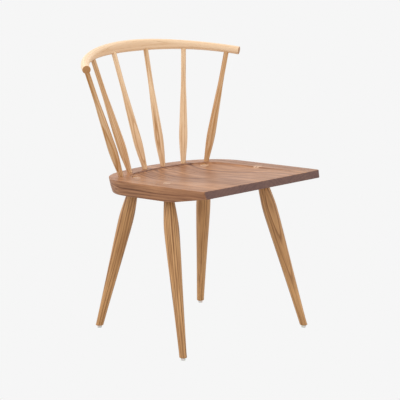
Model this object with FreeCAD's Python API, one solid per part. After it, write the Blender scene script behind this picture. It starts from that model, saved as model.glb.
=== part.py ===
import FreeCAD, Part
import math
import os

from FreeCAD import Placement, Rotation, Vector

# Windsor side chair, millimetres, +Z up. The sitter faces -Y, and X runs across the chair.
# The chair is drawn with the front edge of its seat at y = 0, and written out with the
# origin on the floor under the middle of the whole chair.

# Seat, measured in the plane of its top. "u" runs across, "v" runs back from the front edge,
# and "w" is square to the top, 0 on the flat rim.
seat_front_height = 445.0
seat_slope_deg = 3.7
seat_depth = 460.5
seat_front_width = 414.5
seat_back_width = 424.0
seat_back_radius = 400.0
seat_corner_radius = 140.0
seat_front_corner_radius = 9.0
seat_thickness = 39.5
seat_band_height = 19.5
seat_band_inset = 3.0
seat_underside_inset = 8.0
seat_front_lean_deg = 14.0
seat_front_bevel_length = 130.0
seat_rim_easing = 0.8
seat_underside_easing = 3.0

# Saddle: the hollow inside the flat rim that carries the spindles. A low leaning wall drops from the
# rim by its share of the depth, and a soft bowl takes up the rest.
saddle_rim_width = 54.0
saddle_depth_back = 12.0
saddle_depth_front = 0.6
saddle_full_depth_at = 280.0
saddle_wall_lean_deg = 40.0
saddle_wall_share = 0.27
saddle_bowl_width = 130.0
saddle_bowl_power = 2.0
saddle_grid_step = 12.0

# Crest rail: a bow along a flat arc that rises towards the back. Its middle is placed from
# the rear edge of the seat.
crest_middle_above_seat = 322.4
crest_middle_behind_seat = 68.9
crest_tilt_deg = 8.0
crest_radius = 313.0
crest_half_angle_deg = 60.0
crest_end_diameter = 22.0
crest_middle_height = 31.0
crest_middle_thickness = 20.5
crest_swell_power = 3.0
crest_end_roundness = 2.0
crest_middle_roundness = 3.4
crest_end_easing = 1.2
crest_sections = 13
crest_section_points = 28

# Spindles, diameters from the deck of the seat upwards
spindle_count = 6
spindle_edge_distance = 36.0
outer_spindle_edge_distance = 32.7
spindle_spread_on_seat = 325.0
inner_spindle_along_crest = 58.2
middle_spindle_along_crest = 172.1
crest_end_past_spindle = 34.7
spindle_foot_diameter = 13.2
spindle_swell_height = 20.0
spindle_swell_diameter = 16.2
spindle_rise_height = 48.0
spindle_rise_diameter = 20.8
spindle_belly_height = 76.0
spindle_belly_diameter = 23.0
spindle_shoulder_height = 110.0
spindle_shoulder_diameter = 21.3
spindle_middle_height = 146.0
spindle_middle_diameter = 19.1
spindle_neck_height = 180.0
spindle_neck_diameter = 16.9
spindle_throat_height = 216.0
spindle_throat_diameter = 14.0
spindle_top_height = 246.0
spindle_top_diameter = 13.3
spindle_tenon_in_seat = 24.0
spindle_tenon_end_diameter = 11.0
spindle_tenon_taper_length = 15.0
spindle_tenon_past_crest_line = 4.0

# Legs: where each tenon's axis meets the seat's top, and how far it slants out to the side
# and to the front or back
front_leg_from_front = 187.0
front_leg_from_side = 50.4
front_leg_splay_deg = 7.75
front_leg_rake_deg = 16.05
rear_leg_from_back = 107.7
rear_leg_from_side = 90.3
rear_leg_splay_deg = 8.7
rear_leg_rake_deg = 11.65

# Turning of a leg, diameters from the underside of the seat downwards
leg_tenon_top_diameter = 23.0
leg_neck_diameter = 26.0
leg_shoulder_drop = 37.5
leg_shoulder_diameter = 34.2
leg_belly_drop = 77.5
leg_belly_diameter = 39.3
leg_thigh_drop = 137.5
leg_thigh_diameter = 36.6
leg_waist_drop = 197.5
leg_waist_diameter = 32.2
leg_calf_drop = 257.5
leg_calf_diameter = 27.8
leg_shin_drop = 317.5
leg_shin_diameter = 23.8
leg_ankle_drop = 392.5
leg_ankle_diameter = 19.4
leg_end_chamfer = 1.5

# Wedge in each leg's tenon, driven from above
wedge_depth = 28.0
wedge_top_thickness = 3.2
wedge_tip_thickness = 0.8

# Glides and their nails
glide_diameter = 12.0
glide_height = 7.0
glide_edge_radius = 1.2
nail_shank_diameter = 2.4
nail_length = 16.0
nail_head_diameter = 5.0
nail_head_height = 1.2
nail_recess_depth = 3.0

# Fits
glue_gap = 0.1
nail_gap = 0.05

seat_slope = math.radians(seat_slope_deg)
front_lean = math.tan(math.radians(seat_front_lean_deg))
crest_tilt = math.radians(crest_tilt_deg)
crest_half_angle = math.radians(crest_half_angle_deg)

# How far an untrimmed end or a cutting block reaches past what is kept, and how near to a
# face an edge has to lie to be picked with it
reach_past = seat_thickness
picking_margin = seat_rim_easing

parts_folder = "parts"


def seat_point(u, v, w):
    """A point given in the seat's own directions, as a point of the chair."""
    return Vector(u, v * math.cos(seat_slope) + w * math.sin(seat_slope),
                  seat_front_height - v * math.sin(seat_slope) + w * math.cos(seat_slope))


def on_seat(shape):
    """Moves a shape drawn in the seat's own directions to its place on the chair."""
    shape.Placement = Placement(Vector(0, 0, seat_front_height), Rotation(Vector(1, 0, 0), -seat_slope_deg))
    return shape


def seat_normal():
    """Upward direction square to the seat's flat rim."""
    return seat_point(0, 0, 1) - seat_point(0, 0, 0)


def block(low, high):
    """Everything between two heights, wider and deeper than the chair."""
    reach = seat_depth + seat_back_width
    return Part.makeBox(2 * reach, 2 * reach, high - low, Vector(-reach, -reach, low))


# Plan of the seat: the back is one arc, and each rear corner is an arc tangent to it and to the side

def back_centre_v():
    """Where the centre of the back's arc lies, in front of the rear edge."""
    return seat_depth - seat_back_radius


def corner_centre():
    """Centre of the left rear corner's arc, and of the same arc of any line drawn inside it."""
    u = seat_back_width / 2 - seat_corner_radius
    v = back_centre_v() + math.sqrt((seat_back_radius - seat_corner_radius) ** 2 - u ** 2)
    return u, v


def join_angle():
    """Angle from straight back at which the back's arc hands over to the corner's arc."""
    u, v = corner_centre()
    return math.atan2(u, v - back_centre_v())


def side_u(v):
    """Half width of the seat's outline at v, in front of the rear corners."""
    share = 1 - max(v, 0.0) / corner_centre()[1]
    return seat_back_width / 2 - (seat_back_width - seat_front_width) / 2 * share ** 2


def outline_wire(inset, front_v, w):
    """The seat's outline drawn inset inside itself at height w, with its front line at front_v."""
    cu, cv = corner_centre()
    half_front = side_u(front_v) - inset
    half_back = seat_back_width / 2 - inset
    corner = seat_corner_radius - inset
    back = seat_back_radius - inset
    join = join_angle()
    middle = (join + math.pi / 2) / 2

    def at(u, v):
        return Vector(u, v, w)

    def on_corner(angle, side):
        return at(side * (cu + corner * math.sin(angle)), cv + corner * math.cos(angle))

    def side_curve(side):
        curve = Part.BezierCurve()
        curve.setPoles([at(side * half_front, front_v), at(side * half_back, (front_v + cv) / 2),
                        at(side * half_back, cv)])
        return curve.toShape()

    edges = [
        Part.LineSegment(at(-half_front, front_v), at(half_front, front_v)).toShape(),
        side_curve(1),
        Part.Arc(on_corner(math.pi / 2, 1), on_corner(middle, 1), on_corner(join, 1)).toShape(),
        Part.Arc(on_corner(join, 1), at(0, back_centre_v() + back), on_corner(join, -1)).toShape(),
        Part.Arc(on_corner(join, -1), on_corner(middle, -1), on_corner(math.pi / 2, -1)).toShape(),
        side_curve(-1),
    ]
    return Part.Wire(Part.sortEdges(edges)[0])


def seat_blank():
    """The board before it is hollowed: an edge band all round, a bevelled zone under it, and eased edges."""
    band_foot = (seat_band_inset, -seat_band_height * front_lean, -seat_band_height)
    band = Part.makeLoft([outline_wire(0, 0, 0), outline_wire(*band_foot)], True, True)
    underside = outline_wire(seat_underside_inset, seat_front_bevel_length, -seat_thickness)
    bevel = Part.makeLoft([outline_wire(*band_foot), underside], True, True)
    blank = band.fuse(bevel).removeSplitter()
    front_corners = [edge for edge in blank.Edges
                     if edge.BoundBox.YMax < picking_margin and edge.BoundBox.XLength < seat_corner_radius]
    blank = blank.makeFillet(seat_front_corner_radius, front_corners)
    upper = [edge for edge in blank.Edges if edge.BoundBox.ZMin > -picking_margin]
    blank = blank.makeFillet(seat_rim_easing, upper)
    lower = [edge for edge in blank.Edges if edge.BoundBox.ZMax < -seat_thickness + picking_margin]
    return blank.makeFillet(seat_underside_easing, lower)


# Saddle

def saddle_inside(u, v):
    """How far (u, v) lies inside the saddle's outline, which runs saddle_rim_width inside the seat's."""
    cu, cv = corner_centre()
    if v < cv:
        return side_u(v) - saddle_rim_width - abs(u)
    if math.atan2(abs(u), v - back_centre_v()) < join_angle():
        return seat_back_radius - saddle_rim_width - math.hypot(u, v - back_centre_v())
    return seat_corner_radius - saddle_rim_width - math.hypot(abs(u) - cu, v - cv)


def saddle_w(u, v):
    """Height of the bowl's surface, which meets the saddle's outline at the foot of the wall."""
    share = min(max(v / saddle_full_depth_at, 0.0), 1.0)
    depth = saddle_depth_front + (saddle_depth_back - saddle_depth_front) * share ** 2 * (3 - 2 * share)
    left = max(1 - saddle_inside(u, v) / saddle_bowl_width, 0.0)
    return -depth * (1 - (1 - saddle_wall_share) * left ** saddle_bowl_power)


def saddle_wall():
    """Everything inside the saddle's leaning wall, open to the front."""
    lean = math.tan(math.radians(saddle_wall_lean_deg))
    front_v = -saddle_rim_width
    low = outline_wire(saddle_rim_width + seat_thickness / 2 * lean, front_v, -seat_thickness / 2)
    high = outline_wire(saddle_rim_width - seat_thickness * lean, front_v, seat_thickness)
    return Part.makeLoft([low, high], True, True)


def saddle_tool():
    """Everything taken away for the saddle, drawn in the seat's own directions."""
    half = max(seat_back_width, seat_front_width) / 2 + saddle_grid_step
    columns = 2 * math.ceil(half / saddle_grid_step) + 1
    first_v = -seat_band_height * front_lean - 2 * saddle_grid_step
    rows = math.ceil((seat_depth + saddle_grid_step - first_v) / saddle_grid_step) + 1
    grid = []
    for i in range(columns):
        u = (i - (columns - 1) / 2) * saddle_grid_step
        line = []
        for j in range(rows):
            v = first_v + j * saddle_grid_step
            line.append(Vector(u, v, saddle_w(u, v)))
        grid.append(line)
    surface = Part.BSplineSurface()
    surface.interpolate(grid)
    above_bowl = surface.toShape().extrude(Vector(0, 0, seat_thickness + reach_past))
    return above_bowl.common(saddle_wall())


# Turned pieces

def turned(stations, smooth_from, smooth_to, grow):
    """A turned solid about +Z: stations are (height, diameter), one curve between two of the heights."""
    points = [Vector(diameter / 2 + grow, 0, height) for height, diameter in stations]
    edges = []
    for lower, upper in zip(points, points[1:]):
        if lower.z < smooth_from or lower.z >= smooth_to:
            edges.append(Part.LineSegment(lower, upper).toShape())
    curve = Part.BSplineCurve()
    curve.interpolate([point for point in points if smooth_from <= point.z <= smooth_to])
    edges.append(curve.toShape())
    low = Vector(0, 0, points[0].z)
    high = Vector(0, 0, points[-1].z)
    edges.append(Part.LineSegment(low, points[0]).toShape())
    edges.append(Part.LineSegment(points[-1], high).toShape())
    edges.append(Part.LineSegment(high, low).toShape())
    wire = Part.Wire(Part.sortEdges(edges)[0])
    return Part.Face(wire).revolve(Vector(0, 0, 0), Vector(0, 0, 1), 360)


def along_line(shape, start, direction):
    """Stands a shape drawn about +Z on start, with its axis along direction."""
    shape.Placement = Placement(start, Rotation(Vector(0, 0, 1), direction))
    return shape


# Legs

def leg_line(u, v, splay_deg, back_rake_deg):
    """Where a leg's axis ends on its glide, where it passes the seat's underside, and its direction."""
    top = seat_point(u, v, 0)
    outward = math.copysign(math.tan(math.radians(splay_deg)), u)
    direction = Vector(-outward, -math.tan(math.radians(back_rake_deg)), 1)
    end = top - direction * (top.z - glide_height)
    direction.normalize()
    under = top - direction * (seat_thickness / direction.dot(seat_normal()))
    return end, under, direction


def leg_lines():
    """The line of each leg, by its name."""
    front_u = seat_back_width / 2 - front_leg_from_side
    front_v = front_leg_from_front
    rear_u = seat_back_width / 2 - rear_leg_from_side
    rear_v = seat_depth - rear_leg_from_back
    lines = {}
    for name, side in (("left", 1), ("right", -1)):
        lines["front_" + name] = leg_line(side * front_u, front_v, front_leg_splay_deg, -front_leg_rake_deg)
        lines["rear_" + name] = leg_line(side * rear_u, rear_v, rear_leg_splay_deg, rear_leg_rake_deg)
    return lines


def leg_turning(end, under, direction, grow):
    """A leg before its ends are trimmed, or with grow the socket that it needs."""
    tenon_length = seat_thickness / direction.dot(seat_normal())
    slope = (leg_neck_diameter - leg_tenon_top_diameter) / tenon_length
    stations = [
        (-max((under - end).Length, leg_ankle_drop) - reach_past, leg_ankle_diameter),
        (-leg_ankle_drop, leg_ankle_diameter),
        (-leg_shin_drop, leg_shin_diameter),
        (-leg_calf_drop, leg_calf_diameter),
        (-leg_waist_drop, leg_waist_diameter),
        (-leg_thigh_drop, leg_thigh_diameter),
        (-leg_belly_drop, leg_belly_diameter),
        (-leg_shoulder_drop, leg_shoulder_diameter),
        (0, leg_neck_diameter),
        (tenon_length, leg_tenon_top_diameter),
        (tenon_length + reach_past, leg_tenon_top_diameter - slope * reach_past),
    ]
    return along_line(turned(stations, -leg_ankle_drop, 0, grow), under, direction)


def wedge_prism(under, direction):
    """The wedge as a long flat taper across the leg's tenon. Its width runs across the seat's grain."""
    top = seat_thickness / direction.dot(seat_normal())
    tip = top - wedge_depth
    spread = (wedge_top_thickness - wedge_tip_thickness) / wedge_depth * reach_past
    half_tip = wedge_tip_thickness / 2
    half_top = (wedge_top_thickness + spread) / 2
    half_width = leg_neck_diameter
    over = top + reach_past
    corners = [Vector(-half_width, -half_tip, tip), Vector(-half_width, half_tip, tip),
               Vector(-half_width, half_top, over), Vector(-half_width, -half_top, over)]
    face = Part.Face(Part.makePolygon(corners + corners[:1]))
    return along_line(face.extrude(Vector(2 * half_width, 0, 0)), under, direction)


def leg_and_wedge(line, above_seat):
    """A leg trimmed flush with the saddle and level at its end, and the wedge in its tenon."""
    end, under, direction = line
    turning = leg_turning(end, under, direction, 0)
    prism = wedge_prism(under, direction)
    wedge = turning.common(prism).cut(above_seat)
    leg = turning.cut(prism).cut(above_seat).cut(block(-seat_front_height, glide_height))
    end_edges = [edge for edge in leg.Edges if edge.BoundBox.ZMax < glide_height + picking_margin]
    leg = leg.makeChamfer(leg_end_chamfer, end_edges)
    return leg.cut(nail(end, nail_gap)), wedge


# Glides

def nail(end, grow):
    """The nail of a glide under a leg's end, or with grow the hole that it needs."""
    base = Vector(end.x, end.y, nail_recess_depth)
    head = Part.makeCylinder(nail_head_diameter / 2 + grow, nail_head_height, base)
    shank = Part.makeCylinder(nail_shank_diameter / 2 + grow, nail_length + grow, base)
    return head.fuse(shank).removeSplitter()


def glide(end):
    """A nylon button under a leg's end, with a rounded lower rim and a recess for its nail."""
    foot = Vector(end.x, end.y, 0)
    button = Part.makeCylinder(glide_diameter / 2, glide_height, foot)
    rim = [edge for edge in button.Edges if edge.BoundBox.ZMax < picking_margin]
    button = button.makeFillet(glide_edge_radius, rim)
    recess = Part.makeCylinder(nail_head_diameter / 2 + nail_gap, nail_recess_depth, foot)
    return button.cut(recess).cut(nail(end, nail_gap))


# Crest rail

def crest_frame(angle):
    """Point of the crest's centre line at an angle from straight back, its outward and upward direction."""
    straight_back = Vector(0, math.cos(crest_tilt), math.sin(crest_tilt))
    middle = seat_point(0, seat_depth, 0) + Vector(0, crest_middle_behind_seat, crest_middle_above_seat)
    outward = Vector(math.sin(angle), 0, 0) + straight_back * math.cos(angle)
    upward = Vector(0, -math.sin(crest_tilt), math.cos(crest_tilt))
    return middle + (outward - straight_back) * crest_radius, outward, upward


def crest_swell(angle):
    """Half thickness, half height and roundness of the crest's section at an angle."""
    swell = max(math.cos(angle / crest_half_angle * math.pi / 2), 0.0) ** crest_swell_power
    half_thickness = (crest_end_diameter + (crest_middle_thickness - crest_end_diameter) * swell) / 2
    half_height = (crest_end_diameter + (crest_middle_height - crest_end_diameter) * swell) / 2
    roundness = crest_end_roundness + (crest_middle_roundness - crest_end_roundness) * swell
    return half_thickness, half_height, roundness


def crest_section(angle):
    """Closed section of the crest at an angle: round at the ends, a tall soft oval in the middle."""
    point, outward, upward = crest_frame(angle)
    half_thickness, half_height, roundness = crest_swell(angle)
    points = []
    for i in range(crest_section_points):
        turn = 2 * math.pi * i / crest_section_points
        c = math.cos(turn)
        s = math.sin(turn)
        across = math.copysign(abs(c) ** (2 / roundness), c) * half_thickness
        up = math.copysign(abs(s) ** (2 / roundness), s) * half_height
        points.append(point + outward * across + upward * up)
    curve = Part.BSplineCurve()
    curve.interpolate(points, PeriodicFlag=True)
    return Part.Wire(curve.toShape())


def crest_blank():
    """The bent bow before its sockets are bored."""
    angles = [crest_half_angle * (2 * i / (crest_sections - 1) - 1) for i in range(crest_sections)]
    bow = Part.makeLoft([crest_section(angle) for angle in angles], True, False)
    end_faces = [face for face in bow.Faces if face.Area < crest_end_diameter ** 2]
    return bow.makeFillet(crest_end_easing, [edge for face in end_faces for edge in face.Edges])


# Spindles

def on_deck(along, edge_distance):
    """Point of the seat's deck at a length along the spindles' line and a distance from the seat's edge."""
    cu, cv = corner_centre()
    angle = along / (seat_back_radius - spindle_edge_distance)
    if angle <= join_angle():
        back = seat_back_radius - edge_distance
        return seat_point(back * math.sin(angle), back_centre_v() + back * math.cos(angle), 0)
    past_join = along - (seat_back_radius - spindle_edge_distance) * join_angle()
    angle = join_angle() + past_join / (seat_corner_radius - spindle_edge_distance)
    corner = seat_corner_radius - edge_distance
    return seat_point(cu + corner * math.sin(angle), cv + corner * math.cos(angle), 0)


def spindle_lines():
    """Where each spindle's axis meets the deck and the crest's centre line, from the sitter's right."""
    outer_along_crest = crest_half_angle * crest_radius - crest_end_past_spindle
    pairs = [(outer_spindle_edge_distance, outer_along_crest),
             (spindle_edge_distance, middle_spindle_along_crest),
             (spindle_edge_distance, inner_spindle_along_crest)]
    right = []
    left = []
    for pair, (edge_distance, along_crest) in enumerate(pairs):
        share = 1 - 2 * pair / (spindle_count - 1)
        foot = on_deck(share * spindle_spread_on_seat / 2, edge_distance)
        top = crest_frame(along_crest / crest_radius)[0]
        left.insert(0, (foot, top))
        right.append((Vector(-foot.x, foot.y, foot.z), Vector(-top.x, top.y, top.z)))
    return right + left


def spindle_turning(foot, top, grow):
    """A spindle with its tenons, or with grow the sockets that it needs."""
    end = (top - foot).Length + spindle_tenon_past_crest_line
    stations = [
        (-spindle_tenon_in_seat - grow, spindle_foot_diameter),
        (0, spindle_foot_diameter),
        (spindle_swell_height, spindle_swell_diameter),
        (spindle_rise_height, spindle_rise_diameter),
        (spindle_belly_height, spindle_belly_diameter),
        (spindle_shoulder_height, spindle_shoulder_diameter),
        (spindle_middle_height, spindle_middle_diameter),
        (spindle_neck_height, spindle_neck_diameter),
        (spindle_throat_height, spindle_throat_diameter),
        (spindle_top_height, spindle_top_diameter),
        (end - spindle_tenon_taper_length, spindle_top_diameter),
        (end + grow, spindle_tenon_end_diameter),
    ]
    return along_line(turned(stations, 0, spindle_top_height, grow), foot, top - foot)


def middle_of_depth():
    """Half way between the seat's foremost and the crest's rearmost line, seen from the side."""
    half_thickness, half_height, roundness = crest_swell(0)
    power = roundness / (roundness - 1)
    behind = ((half_thickness * math.cos(crest_tilt)) ** power
              + (half_height * math.sin(crest_tilt)) ** power) ** (1 / power)
    rearmost = crest_frame(0)[0].y + behind
    foremost = seat_point(0, -seat_band_height * front_lean, -seat_band_height).y
    return (foremost + rearmost) / 2


def write(name, shape):
    """Writes one piece, with the origin under the middle of the chair."""
    shape = shape.copy()
    shape.translate(Vector(0, -middle_of_depth(), 0))
    shape.exportStep(os.path.join(parts_folder, name + ".step"))


def main():
    os.makedirs(parts_folder, exist_ok=True)
    legs = leg_lines()
    spindles = spindle_lines()

    saddle = saddle_tool()
    seat = on_seat(seat_blank().cut(saddle))
    above_seat = on_seat(saddle.fuse(block(0, seat_thickness + reach_past)))
    crest = crest_blank()
    for line in legs.values():
        seat = seat.cut(leg_turning(*line, glue_gap))
    for foot, top in spindles:
        sockets = spindle_turning(foot, top, glue_gap)
        seat = seat.cut(sockets)
        crest = crest.cut(sockets)

    write("seat", seat)
    write("crest_rail", crest)
    for number, (foot, top) in enumerate(spindles, 1):
        write("spindle_%d" % number, spindle_turning(foot, top, 0))
    for name, line in legs.items():
        leg, wedge = leg_and_wedge(line, above_seat)
        write("leg_" + name, leg)
        write("leg_wedge_" + name, wedge)
        write("glide_" + name, glide(line[0]))
        write("glide_nail_" + name, nail(line[0], 0))


main()
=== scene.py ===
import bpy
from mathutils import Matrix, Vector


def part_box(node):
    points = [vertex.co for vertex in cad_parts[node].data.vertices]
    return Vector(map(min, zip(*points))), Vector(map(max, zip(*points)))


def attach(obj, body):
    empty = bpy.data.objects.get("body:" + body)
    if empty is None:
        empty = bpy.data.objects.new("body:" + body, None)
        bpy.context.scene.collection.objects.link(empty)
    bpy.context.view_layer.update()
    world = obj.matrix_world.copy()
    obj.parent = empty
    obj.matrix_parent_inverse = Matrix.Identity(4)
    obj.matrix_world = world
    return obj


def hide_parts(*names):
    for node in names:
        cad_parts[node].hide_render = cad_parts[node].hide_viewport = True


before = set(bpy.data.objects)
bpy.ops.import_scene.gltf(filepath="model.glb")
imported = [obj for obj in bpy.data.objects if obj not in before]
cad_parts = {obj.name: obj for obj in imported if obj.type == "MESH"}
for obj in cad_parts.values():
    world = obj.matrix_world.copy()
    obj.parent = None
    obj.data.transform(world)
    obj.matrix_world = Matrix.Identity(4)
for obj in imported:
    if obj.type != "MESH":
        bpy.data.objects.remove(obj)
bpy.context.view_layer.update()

"""A windsor side chair with an oiled walnut seat and oiled ash legs, spindles and crest rail.

Lengths are in millimetres in the classes and in metres in the meshes. +Z is up, the sitter faces -Y, and the
origin is on the floor under the middle of the chair. Every piece keeps the shape and place of its CAD node.
"""

import logging
import math
from dataclasses import dataclass
from enum import Enum
from functools import cached_property
from typing import Any, Callable, Sequence

import bmesh
import bpy
from mathutils import Matrix, Vector

log = logging.getLogger("windsor_chair")

MM = 0.001
TAU = 2 * math.pi
ROOT = "root"
TIMBER = "timber"
GRAIN_AXIS = "grain_axis"
TONE = "tone"
GLUE_GAP = 0.1
NAIL_GAP = 0.05
MERGE_WITHIN = 0.002
TOUCHING = 0.01
SHARP_OVER = math.radians(32)
ROUND_PROFILE = 0.5
TO_METRES = Matrix.Scale(MM, 4)

# Kinds of node that the tables of steps use most, and which of its properties a step's option sets
MATH = "ShaderNodeMath"
VECTOR = "ShaderNodeVectorMath"
WHOLE = "FunctionNodeIntegerMath"
RANGE = "ShaderNodeMapRange"
NOISE = "ShaderNodeTexNoise"
CHANCE = "ShaderNodeTexWhiteNoise"
READ = "ShaderNodeAttribute"
MIX = "ShaderNodeMix"
SKIN = "ShaderNodeBsdfPrincipled"
OUTPUT = "ShaderNodeOutputMaterial"
OPTION_OF = {MATH: "operation", VECTOR: "operation", WHOLE: "operation", RANGE: "interpolation_type",
             NOISE: "noise_dimensions", CHANCE: "noise_dimensions", READ: "attribute_name", MIX: "data_type"}


# Small tools


def linear(hex_colour: str) -> tuple[float, float, float, float]:
    """Turns an sRGB hex colour into the linear colour that a shader takes.

    Args:
        hex_colour: Six hex digits after a hash sign.

    Returns:
        Red, green, blue and a full alpha.
    """
    parts = [int(hex_colour[i:i + 2], 16) / 255 for i in (1, 3, 5)]
    return (*[p / 12.92 if p <= 0.04045 else ((p + 0.055) / 1.055) ** 2.4 for p in parts], 1.0)


def add_node(tree: bpy.types.NodeTree, kind: str, links: dict[Any, Any] | None = None,
             **settings: Any) -> bpy.types.Node:
    """Adds a node, sets it up and links it.

    Args:
        tree: The tree that gets the node.
        kind: Blender's name of the node type.
        links: For an input, by identifier, name or number, the value, socket or node that feeds it.
        settings: Properties of the node.

    Returns:
        The new node.
    """
    node = tree.nodes.new(kind)
    for key, value in settings.items():
        setattr(node, key, value)
    for key, value in (links or {}).items():
        found = [s for s in node.inputs if s.identifier == key or (s.name == key and s.enabled)]
        socket = node.inputs[key] if isinstance(key, int) else found[0]
        if isinstance(value, bpy.types.Node):
            value = next(s for s in value.outputs if s.enabled)
        if isinstance(value, bpy.types.NodeSocket):
            tree.links.new(value, socket)
        else:
            socket.default_value = value
    return node


def add_steps(tree: bpy.types.NodeTree, steps: Sequence[tuple[Any, ...]], known: dict[str, Any]) -> None:
    """Adds a node for each step of a table, fed by values and by what is known already.

    Args:
        tree: The tree that gets the nodes.
        steps: For each node its name, kind and option, and what feeds its inputs, in order or in a dict.
        known: What can feed a step, by name. It gains each step's node, and its outputs as "node.output".
    """
    for name, kind, option, *feeds in steps:
        links = feeds[0] if feeds and isinstance(feeds[0], dict) else dict(enumerate(feeds))
        settings = {OPTION_OF[kind]: option} if option else {}
        node = add_node(tree, kind, {key: known.get(feed, feed) for key, feed in links.items()}, **settings)
        known[name] = node
        known.update({f"{name}.{output.name}": output for output in node.outputs})


def empty_material(name: str) -> bpy.types.Material:
    """Makes a material whose node tree is still empty.

    Args:
        name: The material's name.

    Returns:
        The material.
    """
    material = bpy.data.materials.new(name)
    material.use_nodes = True
    material.node_tree.nodes.clear()
    return material


def start_shape(title: str, measures: Sequence[str], counts: Sequence[str]) -> bpy.types.NodeTree:
    """Starts a geometry node tree that makes one shape from named sizes.

    Args:
        title: The name of the tree.
        measures: Names of the inputs that take any number.
        counts: Names of the inputs that take a whole number.

    Returns:
        The tree with these inputs, one for the material, and no nodes.
    """
    tree = bpy.data.node_groups.new(title, "GeometryNodeTree")
    tree.interface.new_socket("Geometry", in_out="OUTPUT", socket_type="NodeSocketGeometry")
    kinds = {"NodeSocketFloat": measures, "NodeSocketInt": counts, "NodeSocketMaterial": ["Material"]}
    for kind, names in kinds.items():
        for name in names:
            tree.interface.new_socket(name, in_out="INPUT", socket_type=kind)
    return tree


def end_shape(tree: bpy.types.NodeTree, grid: bpy.types.Node, places: bpy.types.Node,
              material: bpy.types.NodeSocket) -> None:
    """Ends a geometry node tree: moves a grid to its places, closes its seams and dresses it.

    Args:
        tree: The tree.
        grid: The node that makes the grid.
        places: The node that gives the place of each of its points.
        material: The input with the finish.
    """
    shaped = add_node(tree, "GeometryNodeSetPosition", {"Geometry": grid, "Position": places})
    closed = add_node(tree, "GeometryNodeMergeByDistance", {"Geometry": shaped, "Distance": MERGE_WITHIN})
    solid = add_node(tree, "GeometryNodeRealizeInstances", {"Geometry": closed})
    dressed = add_node(tree, "GeometryNodeSetMaterial", {"Geometry": solid, "Material": material})
    add_node(tree, "NodeGroupOutput", {"Geometry": dressed})


def mesh_of(carrier: bpy.types.Object) -> bpy.types.Mesh:
    """Turns an object with live modifiers into one plain mesh, and removes the object.

    Args:
        carrier: The object, linked to the scene.

    Returns:
        The evaluated mesh, with nothing live on it.
    """
    graph = bpy.context.evaluated_depsgraph_get()
    graph.update()
    mesh = bpy.data.meshes.new_from_object(carrier.evaluated_get(graph))
    carrier.modifiers.clear()
    bpy.data.objects.remove(carrier)
    return mesh


def grow(tree: bpy.types.NodeTree, sizes: dict[str, Any]) -> bpy.types.Mesh:
    """Runs a geometry node tree once with the given sizes.

    Args:
        tree: The tree to run.
        sizes: The value of each named input.

    Returns:
        The mesh that the tree makes.
    """
    carrier = bpy.data.objects.new(tree.name, bpy.data.meshes.new(tree.name))
    bpy.context.scene.collection.objects.link(carrier)
    modifier = carrier.modifiers.new("shape", "NODES")
    modifier.node_group = tree
    for item in tree.interface.items_tree:
        if item.item_type == "SOCKET" and item.in_out == "INPUT":
            modifier[item.identifier] = sizes[item.name]
    return mesh_of(carrier)


class Carving(Enum):
    """What a tool leaves of the mesh that it meets."""

    OUTSIDE = "DIFFERENCE"
    INSIDE = "INTERSECT"


def carve(mesh: bpy.types.Mesh, tool: bpy.types.Mesh, left: Carving) -> bpy.types.Mesh:
    """Cuts a mesh with another, or keeps what they share.

    Args:
        mesh: The closed mesh that is worked on.
        tool: The closed mesh of the tool.
        left: What is left of the mesh.

    Returns:
        The worked mesh.
    """
    cutter = bpy.data.objects.new("tool", tool)
    carrier = bpy.data.objects.new(mesh.name, mesh)
    for item in (cutter, carrier):
        bpy.context.scene.collection.objects.link(item)
    modifier = carrier.modifiers.new("carve", "BOOLEAN")
    modifier.operation = left.value
    modifier.object = cutter
    modifier.solver = "EXACT"
    worked = mesh_of(carrier)
    bpy.data.objects.remove(cutter)
    return worked


def mend(mesh: bpy.types.Mesh) -> bpy.types.Mesh:
    """Merges doubles and turns every face of a closed mesh outwards.

    Args:
        mesh: The mesh, which is changed.

    Returns:
        The same mesh.
    """
    work = bmesh.new()
    work.from_mesh(mesh)
    bmesh.ops.remove_doubles(work, verts=work.verts, dist=MERGE_WITHIN)
    bmesh.ops.dissolve_degenerate(work, edges=work.edges, dist=MERGE_WITHIN)
    bmesh.ops.recalc_face_normals(work, faces=work.faces)
    work.to_mesh(mesh)
    work.free()
    return mesh


def joined(meshes: Sequence[bpy.types.Mesh]) -> bpy.types.Mesh:
    """Puts several meshes into one.

    Args:
        meshes: The meshes, which stay as they are.

    Returns:
        A new mesh with all of them.
    """
    work = bmesh.new()
    for mesh in meshes:
        work.from_mesh(mesh)
    whole = bpy.data.meshes.new("joined")
    work.to_mesh(whole)
    work.free()
    return whole


def ease(work: bmesh.types.BMesh, edges: Sequence[bmesh.types.BMEdge], radius: float, steps: int) -> None:
    """Rounds some edges of a mesh.

    Args:
        work: The mesh, which is changed.
        edges: The edges.
        radius: Radius of the rounding.
        steps: Faces across the rounding.
    """
    bmesh.ops.bevel(work, geom=edges, offset=radius, segments=steps, profile=ROUND_PROFILE, affect="EDGES",
                    clamp_overlap=True)


def standing_on(start: Vector, direction: Vector) -> Matrix:
    """The place of something drawn about +Z that stands on a point with its axis along a direction.

    Args:
        start: The point, in millimetres.
        direction: The direction of the axis.

    Returns:
        The turn and move, in millimetres.
    """
    turn = Vector((0, 0, 1)).rotation_difference(direction).to_matrix().to_4x4()
    return Matrix.Translation(start) @ turn


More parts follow.
